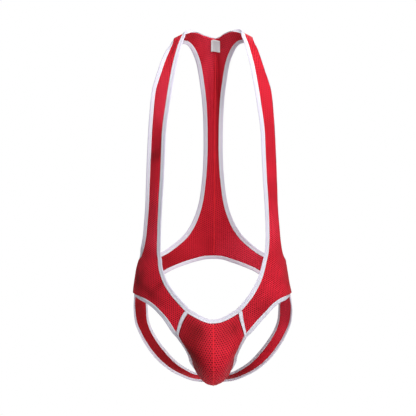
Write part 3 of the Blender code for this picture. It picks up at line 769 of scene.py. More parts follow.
FRONT_CREASES = [
    # side over  down   run   across lean  push  shade (+ painted shade, - painted light)
    (-1, 62.0, 100.0, 26.0, 3.5, 14.0, -1.2, 0.5),
    (-1, 70.0, 118.0, 22.0, 4.0, 20.0, 0.9, -0.2),
    (-1, 80.0, 66.0, 34.0, 4.0, 16.0, -1.0, 0.5),
    (-1, 72.0, 60.0, 26.0, 3.5, 12.0, 0.8, 0.0),
    (-1, 108.0, 266.0, 20.0, 30.0, 4.0, -1.6, 0.45),
    (-1, 108.0, 290.0, 14.0, 30.0, -6.0, 1.3, 0.65),
    (-1, 110.0, 215.0, 22.0, 30.0, 0.0, 0.8, -0.3),
    (-1, 118.0, 415.0, 80.0, 30.0, 0.0, 0.5, -0.4),
    (-1, 118.0, 395.0, 44.0, 5.0, 8.0, 0.7, 0.0),
    (-1, 96.0, 165.0, 60.0, 30.0, 0.0, 0.0, -0.6),
    (-1, 124.0, 455.0, 30.0, 30.0, 0.0, 0.0, -0.5),
    (-1, 140.0, 550.0, 60.0, 60.0, 0.0, 0.0, 0.3),
    (1, 92.0, 305.0, 16.0, 26.0, 0.0, -0.9, 0.1),
    (1, 96.0, 410.0, 46.0, 5.0, -6.0, 0.8, -0.2),
    (1, 112.0, 250.0, 30.0, 7.0, 10.0, -0.7, 0.15),
    (1, 124.0, 430.0, 50.0, 30.0, 0.0, 0.4, -0.5),
    (1, 100.0, 590.0, 34.0, 50.0, 0.0, 0.0, 0.45),
    (-1, 120.0, 505.0, 30.0, 7.0, 42.0, 1.1, -0.2),
    (-1, 104.0, 540.0, 26.0, 6.0, 50.0, -0.9, 0.35),
    (-1, 176.0, 530.0, 26.0, 12.0, -20.0, -0.9, 0.5),
    (-1, 196.0, 500.0, 30.0, 8.0, 0.0, 0.6, -0.35),
    (-1, 130.0, 560.0, 40.0, 10.0, -56.0, -0.8, 0.3),
    (1, 124.0, 512.0, 34.0, 7.0, -46.0, 1.1, -0.2),
    (1, 100.0, 548.0, 28.0, 6.0, -38.0, -0.9, 0.25),
    (1, 150.0, 520.0, 24.0, 6.0, 8.0, 0.8, -0.1),
    (1, 188.0, 520.0, 34.0, 9.0, 6.0, -0.8, 0.3),
    (1, 170.0, 480.0, 30.0, 8.0, 30.0, 0.7, -0.2),
    (-1, 156.0, 528.0, 22.0, 6.0, -10.0, -0.8, 0.2),
    (-1, 150.0, 470.0, 30.0, 8.0, 24.0, 0.7, 0.0),
]


def figure_size(drop):
    """Half width, front depth, back depth, roundness and sway of the worn form at a drop."""
    drop = min(max(drop, FIGURE[0][0]), FIGURE[-1][0])
    knots = [row[0] for row in FIGURE]
    return [smooth_at(knots, [row[c] for row in FIGURE], drop) for c in range(1, 6)]


def turn_at(x, drop):
    """Turn of the place on the worn form that lies `x` mm beside its middle line, at a drop."""
    half, _, _, roundness, _ = figure_size(drop)
    return math.degrees(math.asin((x / half) ** (roundness / 2)))


def figure_point(side, turn, drop):
    """Point of the worn form in mm: turn 0 is the front, 90 the side, 180 the back."""
    half, front, back, roundness, sway = figure_size(drop)
    angle = math.radians(turn)
    facing = math.cos(angle)
    sideways = math.sin(angle)
    x = math.copysign(half * abs(sideways) ** (2 / roundness), sideways) * side
    depth = front if facing > 0 else back
    if drop >= DOME_DROP:
        return Vector((x + sway, -depth * facing, -drop))
    tip = math.radians(90 * (1 - drop / DOME_DROP))
    lift = RIGHT_LIFT * max(0.0, 1 - max(drop, 0.0) / LIFT_REACH) ** 2 if x > 0 else 0.0
    y = -depth * facing * math.cos(tip)
    z = -DOME_DROP + DOME_RISE * abs(facing) * math.sin(tip) + lift
    return Vector((x + sway, y, z))


def figure_out(side, turn, drop):
    """Unit vector out of the worn form at a point."""
    across = figure_point(side, turn + 1, drop) - figure_point(side, turn - 1, drop)
    down = figure_point(side, turn, drop + 2) - figure_point(side, turn, drop - 2)
    return side * down.cross(across).normalized()


def fold_push(panel, side, turn, drop):
    """How far the folds move a point of a panel out of the form, in mm."""
    total = 0.0
    for name, fold_side, fold_turn, fold_drop, run, across, lean, push in FOLDS:
        if name == panel and fold_side == side:
            right = (turn - fold_turn) * MM_PER_DEGREE
            total += push * crease_near(right, drop - fold_drop, run, across, lean)
    return total


def cloth_out(panel, side, turn, drop):
    """Unit vector out of a panel; `turn` is from the panel's own centre line."""
    return figure_out(side, 180 - turn if panel == "back_panel" else turn, drop)


def cloth_point(panel, side, turn, drop):
    """Point of a panel's mid-surface, on the form or moved off it by the folds."""
    base = figure_point(side, 180 - turn if panel == "back_panel" else turn, drop)
    return base + cloth_out(panel, side, turn, drop) * fold_push(panel, side, turn, drop)


CENTRE_SEAM_X = 5.0        # how far the centre-back seam lies to the garment's left
CENTRE_SEAM_LOW_X = 3.5    # and how far at its lower end
CENTRE_SEAM_LOW = 450.0
SEAM_REACH = 12.0


def seam_turn(drop):
    """Turn of the centre-back seam, which lies a little to the garment's left of the middle."""
    share = min(max(drop / CENTRE_SEAM_LOW, 0.0), 1.0)
    return turn_at(CENTRE_SEAM_X + (CENTRE_SEAM_LOW_X - CENTRE_SEAM_X) * share, drop)


def panel_sheet(panel, table, side):
    """A front or back panel: a list of rows, each from the inner to the outer edge."""
    sheet = Sheet([], [])
    for step in range((len(table) - 1) * STEPS_PER_ROW + 1):
        inner_turn, inner_drop, outer_turn, outer_drop = row_at(table, step / STEPS_PER_ROW)
        if panel == "back_panel":
            near_seam = max(0.0, 1.0 - inner_turn / SEAM_REACH)
            inner_turn += near_seam * (side * seam_turn(inner_drop) + SEAM_GAP / 2 / MM_PER_DEGREE)
        cells = [cell / PANEL_CELLS for cell in range(PANEL_CELLS + 1)]
        places = [(inner_turn + (outer_turn - inner_turn) * t,
                   inner_drop + (outer_drop - inner_drop) * t) for t in cells]
        sheet.points.append([cloth_point(panel, side, turn, drop) for turn, drop in places])
        sheet.outs.append([cloth_out(panel, side, turn, drop) for turn, drop in places])
    return sheet


def close_pouch_seam(front, pouch):
    """Bring a front panel's seam edge beside the pouch's, under the tape."""
    first, last = FRONT_SEAM_ROWS[0] * STEPS_PER_ROW, FRONT_SEAM_ROWS[1] * STEPS_PER_ROW
    for k in range(first, last + 1):
        edge = pouch.points[k - first][-1]
        row = front.points[k]
        way = (row[-1] - row[0]).normalized()
        tip = ((k - first) / (last - first)) ** POUCH_SEAM_CURVE
        move = edge + way * POUCH_SEAM_GAP - row[0]
        for c in range(len(row)):
            t = c / (len(row) - 1)
            row[c] = row[c] + move * (1 - t + t * tip)


def panel_cut(grid, drops):
    """Place on the flat cloth of a panel's points: over from the centre line, down from the top."""
    level = drops - drops.min()
    steps = np.linalg.norm(np.diff(grid, axis=1), axis=2)
    slant = np.diff(level, axis=1)
    over = np.sqrt(np.maximum(steps ** 2 - slant ** 2, 0.0))
    over = np.concatenate([np.zeros((len(grid), 1)), np.cumsum(over, axis=1)], axis=1)
    over += inner_overs(grid[:, 0], level[:, 0])[:, None]
    return np.stack([over, level, np.zeros_like(over)], axis=2)


def inner_overs(line, levels):
    """How far over the flat cloth a panel's inner edge runs, its way round the form counted."""
    steps = np.linalg.norm(np.diff(line, axis=0), axis=1)
    round_form = np.sqrt(np.maximum(steps ** 2 - np.diff(levels) ** 2, 0.0))
    sideways = line[:, 0] * np.sign(line[0, 0])
    turns = np.unwrap(np.arctan2(line[:, 1], sideways))
    away = np.sign(np.abs(turns[:-1]) - np.abs(turns[1:]))
    below = levels[1:] > LEVEL_TOP
    moves = np.where(below, away * round_form, np.diff(sideways))
    return np.concatenate([[0.0], np.cumsum(moves)]) + sideways[0]


def down_lengths(grid):
    """How far down the cloth each point lies: the drop, and its real length over the shoulder."""
    middle = grid[:, grid.shape[1] // 2]
    along, drops = run_lengths(middle), -middle[:, 2]
    blend = np.clip((drops - OVER_SHOULDER) / (BELOW_SHOULDER - OVER_SHOULDER), 0.0, 1.0)[:, None]
    row = np.searchsorted(drops, BELOW_SHOULDER) if (drops > BELOW_SHOULDER).any() else 0
    return along[:, None] * (1 - blend) + (along[row] - drops[row] - grid[..., 2]) * blend


panel_mesh = mesh_look("panel_mesh", hole_over=4.0, hole_down=4.1, hole_radius=1.15,
                       by_column=True)
fronts = {side: panel_sheet("front_panel", FRONT_PANEL, side) for side in (-1, 1)}
for side in (-1, 1):
    close_pouch_seam(fronts[side], pouches[side])
for hand, side in SIDES.items():
    grid, outs = fine_sheet(fronts[side])
    cut = panel_cut(grid, down_lengths(grid))
    lay_cloth(f"front_cloth_{hand}", f"front_panel_{hand}", grid, outs, cut, FRONT_CREASES, side,
              panel_mesh, "neckline_binding")

# ---------------------------------------------------------------------------------------------
# Back panels: the two halves of the racer back, sewn to each other down the middle, to the front
# straps behind the shoulders and to the front panels at the sides. Overlocked ridges lie inside.
BACK_PANEL = [
    # inner turn, drop   outer turn, drop
    (27.2, 12.5, 31.0, 12.5),
    (23.4, 20.0, 27.8, 32.0),
    (18.6, 34.0, 23.8, 49.0),
    (13.0, 51.0, 19.8, 70.0),
    (6.5, 63.0, 17.2, 85.0),
    (0.0, 67.0, 15.0, 98.0),
    (0.0, 86.0, 13.4, 109.0),
    (0.0, 105.0, 12.0, 121.0),
    (0.0, 125.0, 10.5, 135.0),
    (0.0, 146.0, 8.8, 151.0),
    (0.0, 167.0, 7.5, 168.0),
    (0.0, 196.0, 6.3, 196.0),
    (0.0, 242.0, 5.7, 242.0),
    (0.0, 276.0, 5.9, 275.0),
    (0.0, 307.0, 6.6, 303.0),
    (0.0, 335.0, 7.8, 333.0),
    (0.0, 360.0, 9.8, 358.0),
    (0.0, 381.0, 12.5, 379.0),
    (0.0, 400.0, 15.8, 397.0),
    (0.0, 418.0, 20.6, 415.0),
    (0.0, 435.0, 27.0, 430.0),
    (0.0, 451.0, 34.0, 442.5),
    (6.0, 452.5, 42.0, 452.5),
    (13.5, 458.0, 50.0, 457.5),
    (23.0, 466.0, 58.0, 459.5),
    (34.0, 477.0, 66.0, 460.5),
    (44.0, 489.5, 73.0, 461.0),
    (55.0, 501.5, 79.0, 461.0),
    (71.0, 512.5, 84.0, 460.5),
    (89.8, 520.0, 89.8, 460.0),
]
BACK_NECK_ROWS = (0, 5)
BACK_SEAM_ROWS = (5, 21)
BACK_ARCH_ROWS = (21, 29)
BACK_ARMHOLE_ROWS = (0, 29)
BACK_CREASES = [
    # side over  down   run   across lean  push  shade (+ painted shade, - painted light)
    (-1, 0.0, 190.0, 60.0, 2.4, 0.0, 1.0, -0.1),
    (1, 8.0, 150.0, 40.0, 2.2, 4.0, -0.9, 0.3),
    (-1, 3.0, 118.0, 26.0, 3.0, -10.0, -0.8, 0.2),
    (1, 14.0, 330.0, 60.0, 3.0, 0.0, 0.8, 0.0),
    (1, 15.0, 290.0, 70.0, 9.0, 0.0, -0.6, 0.9),
    (1, 12.0, 190.0, 60.0, 9.0, 3.0, 0.0, 0.45),
    (-1, 24.0, 70.0, 26.0, 8.0, 20.0, -0.6, 0.2),
    (1, 26.0, 72.0, 26.0, 7.0, -24.0, -0.6, 0.25),
    (-1, 60.0, 560.0, 24.0, 6.0, 58.0, 0.9, 0.0),
    (-1, 96.0, 585.0, 26.0, 7.0, 64.0, -0.9, 0.3),
    (1, 54.0, 556.0, 22.0, 6.0, -56.0, 0.9, 0.0),
    (1, 90.0, 580.0, 28.0, 7.0, -62.0, -0.9, 0.2),
    (1, 130.0, 590.0, 22.0, 7.0, -20.0, 0.8, 0.0),
    (-1, 134.0, 588.0, 22.0, 7.0, 16.0, 0.8, 0.0),
    (-1, 150.0, 560.0, 30.0, 9.0, 30.0, -0.7, 0.2),
    (-1, 110.0, 530.0, 60.0, 90.0, 0.0, 0.0, 0.55),
    (1, 90.0, 520.0, 60.0, 80.0, 0.0, 0.0, -1.1),
    (-1, 14.0, 80.0, 120.0, 30.0, 0.0, 0.0, -0.8),
    (1, 30.0, 60.0, 50.0, 24.0, 0.0, 0.0, -0.8),
    (1, 146.0, 548.0, 30.0, 9.0, -34.0, -0.7, 0.2),
]
INNER_RIDGE = (3.4, 0.9)    # width, height
OUTER_RIDGE = (2.2, 0.25)
SHOULDER_RIDGE = (3.4, 0.8)
RIDGE_SINK = 0.1
CENTRE_SEAM_TRIM = 3        # fine rows that the seam stays clear of the tapes
SIDE_SEAM_TRIM = 2

backs = {side: panel_sheet("back_panel", BACK_PANEL, side) for side in (-1, 1)}
back_mesh = mesh_look("back_mesh", hole_over=4.0, hole_down=4.2, hole_radius=1.15,
                      by_column=True)
seams = []
for hand, side in SIDES.items():
    grid, outs = fine_sheet(backs[side])
    cut = panel_cut(grid, down_lengths(grid))
    grid = lay_cloth(f"back_cloth_{hand}", f"back_panel_{hand}", grid, outs, cut, BACK_CREASES,
                     side, back_mesh, "neckline_binding")
    if side == 1:
        first, last = (row * STEPS_PER_ROW * FINER for row in BACK_SEAM_ROWS)
        rows = slice(first + CENTRE_SEAM_TRIM, last + 1 - CENTRE_SEAM_TRIM)
        seams.append(("centre_back_seam", grid[rows, 0], -outs[rows, 0], INNER_RIDGE))
        seams.append(("centre_back_outer_seam", grid[rows, 0], outs[rows, 0], OUTER_RIDGE))
    line, ways = (values[-1, SIDE_SEAM_TRIM:-SIDE_SEAM_TRIM] for values in (grid, outs))
    seams.append((f"side_inner_seam_{hand}", line, -ways, INNER_RIDGE))
    seams.append((f"side_outer_seam_{hand}", line, ways, OUTER_RIDGE))
    seams.append((f"shoulder_inner_seam_{hand}", grid[0, 1:-1], -outs[0, 1:-1], SHOULDER_RIDGE))
for name, line, ways, (width, height) in seams:
    seam_ridge(name, line, ways, width, height, lift=CLOTH_WALL / 2 - RIDGE_SINK)

# ---------------------------------------------------------------------------------------------
# Leg straps: a bound band of the same mesh a side, sewn inside the hip hem, passing behind the leg
# and joined to the other one under the end of the pouch.
TAPE_WIDTH = 8.5
STRAP_CELLS = 3
STRAP_BOW = 2.5
STRAP_BOW_WAY = (0.0, 1.0, -0.8)
LEG_TAPE_END_X = 10.0
STRAP_LEG_INSET = [2.0, 3.5, 8.0, 8.8, 8.8, 8.8]
STRAP_SEAT_INSET = [6.0, 6.3, 7.5, 8.8, 8.8, 8.8]
STRAP_TOP_LIFT = {-1: (4.9, 9.2), 1: (4.7, 9.0)}
STRAP_TOP_INWARD = {-1: 0.0, 1: 4.4}
STRAP_TOP_ROWS = 3.0
LEG_STRAP = [
    # leg edge x, y, z       seat edge x, y, z
    (158.2, 22.7, -524.7, 138.4, 59.0, -513.0),
    (160.5, 31.0, -545.0, 136.5, 64.0, -530.0),
    (160.5, 36.0, -560.0, 134.0, 66.0, -548.0),
    (159.0, 40.0, -585.0, 132.0, 69.0, -577.0),
    (151.0, 41.0, -609.0, 125.0, 68.0, -599.0),
    (137.7, 40.0, -633.5, 112.5, 65.0, -619.5),
    (119.3, 35.0, -657.3, 95.0, 61.0, -642.0),
    (92.0, 27.0, -680.0, 73.5, 55.0, -664.5),
    (64.4, 20.0, -693.5, 53.5, 50.0, -678.4),
    (36.0, 13.0, -701.5, 33.0, 45.0, -687.5),
    (1.0, 8.0, -703.5, 1.0, 42.0, -690.0),
]
STRAP_CREASES = [
    # side over  down   run   across lean  push  shade (+ painted shade, - painted light)
    (-1, 8.0, 40.0, 14.0, 12.0, 0.0, -0.8, 0.3),
    (-1, 10.0, 95.0, 26.0, 4.0, 6.0, 0.6, -0.1),
    (-1, 14.0, 70.0, 110.0, 30.0, 0.0, 0.0, 0.85),
    (1, 12.0, 60.0, 24.0, 4.0, -8.0, 0.7, -0.2),
    (1, 6.0, 140.0, 20.0, 4.0, 10.0, -0.6, 0.2),
    (1, 14.0, 40.0, 80.0, 30.0, 0.0, 0.0, -0.9),
    (1, 12.0, 225.0, 50.0, 24.0, 0.0, 0.0, 0.6),
    (-1, 12.0, 190.0, 60.0, 24.0, 0.0, 0.0, 0.65),
]


def spread_at(values, share):
    """Value at a share of the way through values that are spread evenly."""
    return smooth_at(range(len(values)), values, (len(values) - 1) * share)


def strap_sheet(side):
    """Points of a leg strap between its two tapes: rows from the leg edge to the seat edge."""
    grid = []
    steps = (len(LEG_STRAP) - 1) * STEPS_PER_ROW
    for step in range(steps + 1):
        values = row_at(LEG_STRAP, step / STEPS_PER_ROW)
        top = max(0.0, 1 - step / STEPS_PER_ROW / STRAP_TOP_ROWS) ** 2
        leg_lift, seat_lift = (lift * top for lift in STRAP_TOP_LIFT[side])
        leg_inset, seat_inset = (spread_at(insets, step / steps)
                                 for insets in (STRAP_LEG_INSET, STRAP_SEAT_INSET))
        inward = STRAP_TOP_INWARD[side] * top
        leg = Vector((side * (values[0] - inward), values[1], values[2] + leg_lift))
        seat = Vector((side * (values[3] - inward), values[4], values[5] + seat_lift))
        width = (seat - leg).length
        bow = Vector(STRAP_BOW_WAY).normalized() * STRAP_BOW
        row = []
        for cell in range(STRAP_CELLS + 1):
            along = leg_inset + (width - leg_inset - seat_inset) * cell / STRAP_CELLS
            row.append(leg.lerp(seat, along / width) + bow * math.sin(math.pi * along / width))
        grid.append(row)
    return sheet_with_outs(grid)


strap_mesh = mesh_look("strap_mesh", hole_over=3.6, hole_down=3.6, hole_radius=0.85,
                       by_column=True)
straps = {side: strap_sheet(side) for side in (-1, 1)}
for hand, side in SIDES.items():
    grid, outs = fine_sheet(straps[side])
    lay_cloth(f"leg_strap_cloth_{hand}", f"leg_strap_{hand}", grid, outs, grid_cut(grid),
              STRAP_CREASES, side, strap_mesh, "lower_binding", rows=(True, False))

# ---------------------------------------------------------------------------------------------
# Bindings: strips of soft pale knit tape, folded round every cut edge and held by a zigzag stitch
# beside the cloth, with the fold standing a little fuller beyond the stitch line.
STRIP_WALL = 0.45      # the tape's own knit
TAPE_FINER = 5
TAPE_THICK = 2.2       # folded, from face to face
TAPE_FACE = 1.0        # from its middle to its face, where it is sewn
TAPE_FOLD_WALL = 0.62  # the knit lies this thick in the fold itself,
TAPE_FOLD_REACH = 0.3  # and its two inner faces meet this far from the fold's outside
STANDING_PINCH = 0.4
MESH_WALL = 1.5        # the doubled mesh cloth with its soft faces
ROLL_CLEAR = MESH_WALL / 2 + SEAM_GAP + TAPE_THICK / 2
CLOSEST_STATIONS = 4.0
EASE_REACH = 3         # stations to each side of a join that are moved onto a smoother path,
EASE_PASSES = 3        # how many times,
EASE_AWAY = 0.15       # and how far away from the cloth at most each time
TURN_REACH = 6         # stations to each side of it that are turned and narrowed alike,
TURN_PASSES = 10       # and how many times
NECK_ROLL = [20.0, 110.0, 155.0, 165.0, 165.0]
ARMHOLE_ROLL = {-1: [-60.0, 10.0, 40.0, 40.0, 36.0, -40.0],
                1: [-60.0, -60.0, -85.0, -85.0, -80.0, -40.0]}
RACER_ROLL = [-60.0, 3.0, 7.0, 20.0, 5.0, 30.0, -40.0]
LEG_LINE_ROLL = [-20.0, -10.0, -12.0, -8.0, 0.0]
ARCH_ROLL = [-40.0, -40.0, -45.0, -50.0, -50.0]
STRAP_LEG_ROLL = [-35.0, -28.0, -22.0, -18.0, -10.0, 0.0]
STRAP_SEAT_ROLL = [25.0, 22.0, 20.0, 18.0, 10.0, 0.0]
POUCH_LEG_ROLL = [20.0, 80.0, 85.0, 25.0, 0.0, 0.0]
# The fold's outer profile: how far across the tape (the last ones from its fold), how far out.
TAPE_PROFILE = [
    (-0.5, 0.98), (0.5, 1.02), (1.9, 1.00), (3.0, 0.96), (3.7, 0.78), (4.5, 1.06), (5.8, 1.22),
    (7.0, 1.12), (7.9, 0.74), (8.35, 0.34), (8.5, 0.0),
]
STITCH_MIDDLE = 1.9
STITCH_WIDTH = 1.9
STITCH_LENGTH = 1.7
THREAD_RADIUS = 0.13
THREAD_SIDES = 4
TOP_BAR_UP = 0.6       # a close bar of stitches joins each leg strap's top to the hem
TOP_BAR_OUT = 0.6
TOP_BAR_WIDTH = 3.2
TOP_BAR_STITCH = 1.2
TAPE_WHITE = (0.81, 0.81, 0.89, 1.0)
# The tape's lilac tone on its folded half, darkened with painted shade where the fold turns away.
TAPE_FOLD_TINT_AND_SHADE = (0.71, 0.66, 0.80, 1.0)
TAPE_BLOTCH = (0.66, 0.64, 0.74, 1.0)
TAPE_RIB = (0.60, 0.58, 0.68, 1.0)
# Painted shade along the groove of the stitching.
TAPE_GROOVE_SHADE = (0.52, 0.50, 0.60, 1.0)
TAPE_RIB_STEP = 1.3
TAPE_PRESS_LINE = 3.7  # how far over the tape its stitching pulls it in
TAPE_FOLD_LINE = (4.6, 5.8)
THREAD_WHITE = (0.88, 0.88, 0.94, 1.0)
THREAD_GREY = (0.70, 0.69, 0.78, 1.0)

Station = namedtuple("Station", "start across out width")


def stations_along(points, outs, neighbours):
    """Stations of a tape along an edge: its start, the way across it and the way out of it."""
    aheads = [(points[min(k + 1, len(points) - 1)] - points[max(k - 1, 0)]).normalized()
              for k in range(len(points))]
    ways = [ahead.cross(out).normalized() for ahead, out in zip(aheads, outs)]
    away = sum(way.dot(point - near) for way, point, near in zip(ways, points, neighbours))
    sign = 1 if away > 0 else -1
    stations = []
    for point, ahead, way in zip(points, aheads, ways):
        across = way * sign
        out = across.cross(ahead) * sign
        stations.append(Station(point + across * SEAM_GAP, across, out, TAPE_WIDTH))
    return stations


def edge_stations(sheet, first, last, column):
    """Stations of a tape along one edge of a sheet, whose column is 0 or -1."""
    numbers = range(first * STEPS_PER_ROW, last * STEPS_PER_ROW + 1)
    inside = 1 if column == 0 else -2
    return stations_along([sheet.points[r][column] for r in numbers],
                          [sheet.outs[r][column] for r in numbers],
                          [sheet.points[r][inside] for r in numbers])


def top_stations(sheet):
    """Stations of a tape beyond the first row of a sheet."""
    return stations_along(sheet.points[0], sheet.outs[0], sheet.points[1])


def rolled(stations, rolls):
    """Turn a tape about the cloth's edge, by angles spread evenly along it, in degrees."""
    turned = []
    for k, (start, across, out, width) in enumerate(stations):
        angle = math.radians(spread_at(rolls, k / (len(stations) - 1)))
        start = start + across * abs(math.sin(angle)) * TAPE_THICK / 2
        start += out * math.copysign(1 - math.cos(angle), angle) * ROLL_CLEAR / 2
        turned.append(Station(
            start,
            across * math.cos(angle) + out * math.sin(angle),
            out * math.cos(angle) - across * math.sin(angle),
            width * (1 - STANDING_PINCH * math.sin(angle) ** 2),
        ))
    return turned


def merged(one, other):
    """The station midway between two, a little further from the cloth's corner."""
    middle = Station(*[(a + b) / 2 for a, b in zip(one, other)])
    return middle._replace(start=middle.start + middle.across * SEAM_GAP)


def joined(*runs, closed):
    """One run of stations, with those where two runs meet made one, softly averaged."""
    stations, joins = [], []
    for run in runs:
        joins.append(len(stations))
        for station in run:
            if stations and (station.start - stations[-1].start).length < CLOSEST_STATIONS:
                stations[-1] = merged(stations[-1], station)
            else:
                stations.append(station)
    if closed and (stations[0].start - stations[-1].start).length < CLOSEST_STATIONS:
        stations[0] = merged(stations[0], stations.pop())
    for step in range(TURN_PASSES):
        stations = eased(stations, joins, closed, EASE_REACH if step < EASE_PASSES else 0)
    return softened(stations, closed)


def blended(before, here, after, start):
    """A station whose ways and width are averaged with those of its neighbours."""
    across = (before.across + here.across * 2 + after.across).normalized()
    out = before.out + here.out * 2 + after.out
    out = (out - across * out.dot(across)).normalized()
    return Station(start, across, out, (before.width + here.width * 2 + after.width) / 4)


def eased(stations, joins, closed, reach):
    """Stations near the joins of two runs turned alike, and moved onto a smoother path.

    None moves away from its cloth by more than EASE_AWAY in one pass.
    """
    count = len(stations)
    moved = list(stations)
    for join in joins:
        for k in range(join - TURN_REACH, join + TURN_REACH):
            if closed or 0 < k < count - 1:
                before, here, after = (stations[(k + step) % count] for step in (-1, 0, 1))
                near = join - reach <= k < join + reach
                move = (before.start - here.start * 2 + after.start) / 4 if near else Vector()
                away = max(0.0, move.dot(here.across) - EASE_AWAY)
                moved[k % count] = blended(before, here, after,
                                           here.start + move - here.across * away)
    return moved


def softened(stations, closed):
    """Every station blended with its neighbours, in its place."""
    count = len(stations)
    smooth = []
    for k, station in enumerate(stations):
        before = stations[(k - 1) % count] if closed or k > 0 else station
        after = stations[(k + 1) % count] if closed or k < count - 1 else station
        smooth.append(blended(before, station, after, station.start))
    return smooth


def tape_look():
    """Folded knit tape: fine ribs across it, painted shade along the groove of its stitching, and a
    lilac tone with painted shade over its folded half.
    """
    look = Look("white_knit_tape", roughness=0.62, sheen=0.10, specular=0.20)
    over, down, _ = look.place()
    ribs = down.waves(TAPE_RIB_STEP)
    # Painted shade along the groove of the stitching.
    groove_shade = (1.0 - (over.size() - TAPE_PRESS_LINE).size().rise(0.25, 1.0)) * 0.75
    # The folded half: its lilac tone, with painted shade where it turns away.
    fold_tint_and_shade = over.size().rise(*TAPE_FOLD_LINE)
    pale = look.mix(fold_tint_and_shade * 0.8, TAPE_WHITE, TAPE_FOLD_TINT_AND_SHADE)
    pale = look.mix(look.noise(30.0, detail=3.0) * 0.12, pale, TAPE_BLOTCH)
    pale = look.mix(ribs * 0.08, pale, TAPE_RIB)
    look.colour(look.mix(groove_shade * 0.40, pale, TAPE_GROOVE_SHADE))
    look.bump(ribs * 0.4 + look.noise(900.0) * 0.4, distance=0.0002, strength=0.6)
    return look.material


def thread_look():
    """Round white sewing thread, a little uneven."""
    look = Look("white_thread", roughness=0.45, sheen=0.2, specular=0.4)
    look.colour(look.mix(look.noise(500.0) * 0.4, THREAD_WHITE, THREAD_GREY))
    return look.material


white_tape = tape_look()
white_thread = thread_look()


def stitch_nodes(thread_material):
    """Nodes that turn a guide line with its ways across into a zigzag of round thread."""
    tree = bpy.data.node_groups.new("zigzag_stitches", "GeometryNodeTree")
    panel = tree.interface
    panel.new_socket("Guide", in_out="INPUT", socket_type="NodeSocketGeometry")
    names = {}
    for name, value in (("Stitch length", STITCH_LENGTH * MM), ("Stitch width", STITCH_WIDTH * MM),
                        ("Thread radius", THREAD_RADIUS * MM)):
        socket = panel.new_socket(name, in_out="INPUT", socket_type="NodeSocketFloat")
        socket.default_value = value
        names[name] = socket.identifier
    panel.new_socket("Stitches", in_out="OUTPUT", socket_type="NodeSocketGeometry")

    given = add_node(tree, "NodeGroupInput")
    line = add_node(tree, "GeometryNodeMeshToCurve", sockets={"Mesh": given.outputs["Guide"]})
    even = add_node(tree, "GeometryNodeResampleCurve", {"mode": "LENGTH"}, {
        "Curve": line.outputs[0], "Length": given.outputs["Stitch length"]})
    order = add_node(tree, "GeometryNodeInputIndex")
    odd = add_node(tree, "ShaderNodeMath", {"operation": "FLOORED_MODULO"},
                   {0: order.outputs[0], 1: 2.0})
    swing = add_node(tree, "ShaderNodeMath", {"operation": "SUBTRACT"},
                     {0: odd.outputs[0], 1: 0.5})
    reach = add_node(tree, "ShaderNodeMath", {"operation": "MULTIPLY"},
                     {0: swing.outputs[0], 1: given.outputs["Stitch width"]})
    across = add_node(tree, "GeometryNodeInputNamedAttribute", {"data_type": "FLOAT_VECTOR"},
                      {"Name": "across"})
    offset = add_node(tree, "ShaderNodeVectorMath", {"operation": "SCALE"}, {
        0: across.outputs["Attribute"], "Scale": reach.outputs[0]})
    moved = add_node(tree, "GeometryNodeSetPosition", sockets={
        "Geometry": even.outputs[0], "Offset": offset.outputs[0]})
    round_thread = add_node(tree, "GeometryNodeCurvePrimitiveCircle", sockets={
        "Resolution": THREAD_SIDES, "Radius": given.outputs["Thread radius"]})
    thread = add_node(tree, "GeometryNodeCurveToMesh", sockets={
        "Curve": moved.outputs[0], "Profile Curve": round_thread.outputs[0], "Fill Caps": True})
    real = add_node(tree, "GeometryNodeRealizeInstances", sockets={0: thread.outputs[0]})
    finished = add_node(tree, "GeometryNodeSetMaterial", sockets={
        "Geometry": real.outputs[0], "Material": thread_material})
    add_node(tree, "NodeGroupOutput", sockets={0: finished.outputs[0]})
    return tree, names


zigzag, zigzag_names = stitch_nodes(white_thread)


def sew(name, guides, length=STITCH_LENGTH, width=STITCH_WIDTH):
    """Sew zigzag rows along guide lines, each a run of (points, ways across, closed)."""
    verts, ways, edges = [], [], []
    for points, across, closed in guides:
        first = len(verts)
        verts += [tuple(p * MM) for p in points]
        ways += [tuple(a) for a in across]
        edges += [(k, k + 1) for k in range(first, len(verts) - 1)]
        if closed:
            edges.append((len(verts) - 1, first))
    mesh = bpy.data.meshes.new(name)
    mesh.from_pydata(verts, edges, [])
    layer = mesh.attributes.new("across", "FLOAT_VECTOR", "POINT")
    layer.data.foreach_set("vector", np.asarray(ways, dtype=np.float32).ravel())
    guide = put_in(name + "_guide", mesh)
    modifier = guide.modifiers.new("stitches", "NODES")
    modifier.node_group = zigzag
    modifier[zigzag_names["Stitch length"]] = length * MM
    modifier[zigzag_names["Stitch width"]] = width * MM
    graph = bpy.context.evaluated_depsgraph_get()
    sewn = bpy.data.meshes.new_from_object(guide.evaluated_get(graph))
    bpy.data.objects.remove(guide, do_unlink=True)
    sewn.polygons.foreach_set("use_smooth", [True] * len(sewn.polygons))
    made = put_in(name, sewn)
    state(made)
    return made


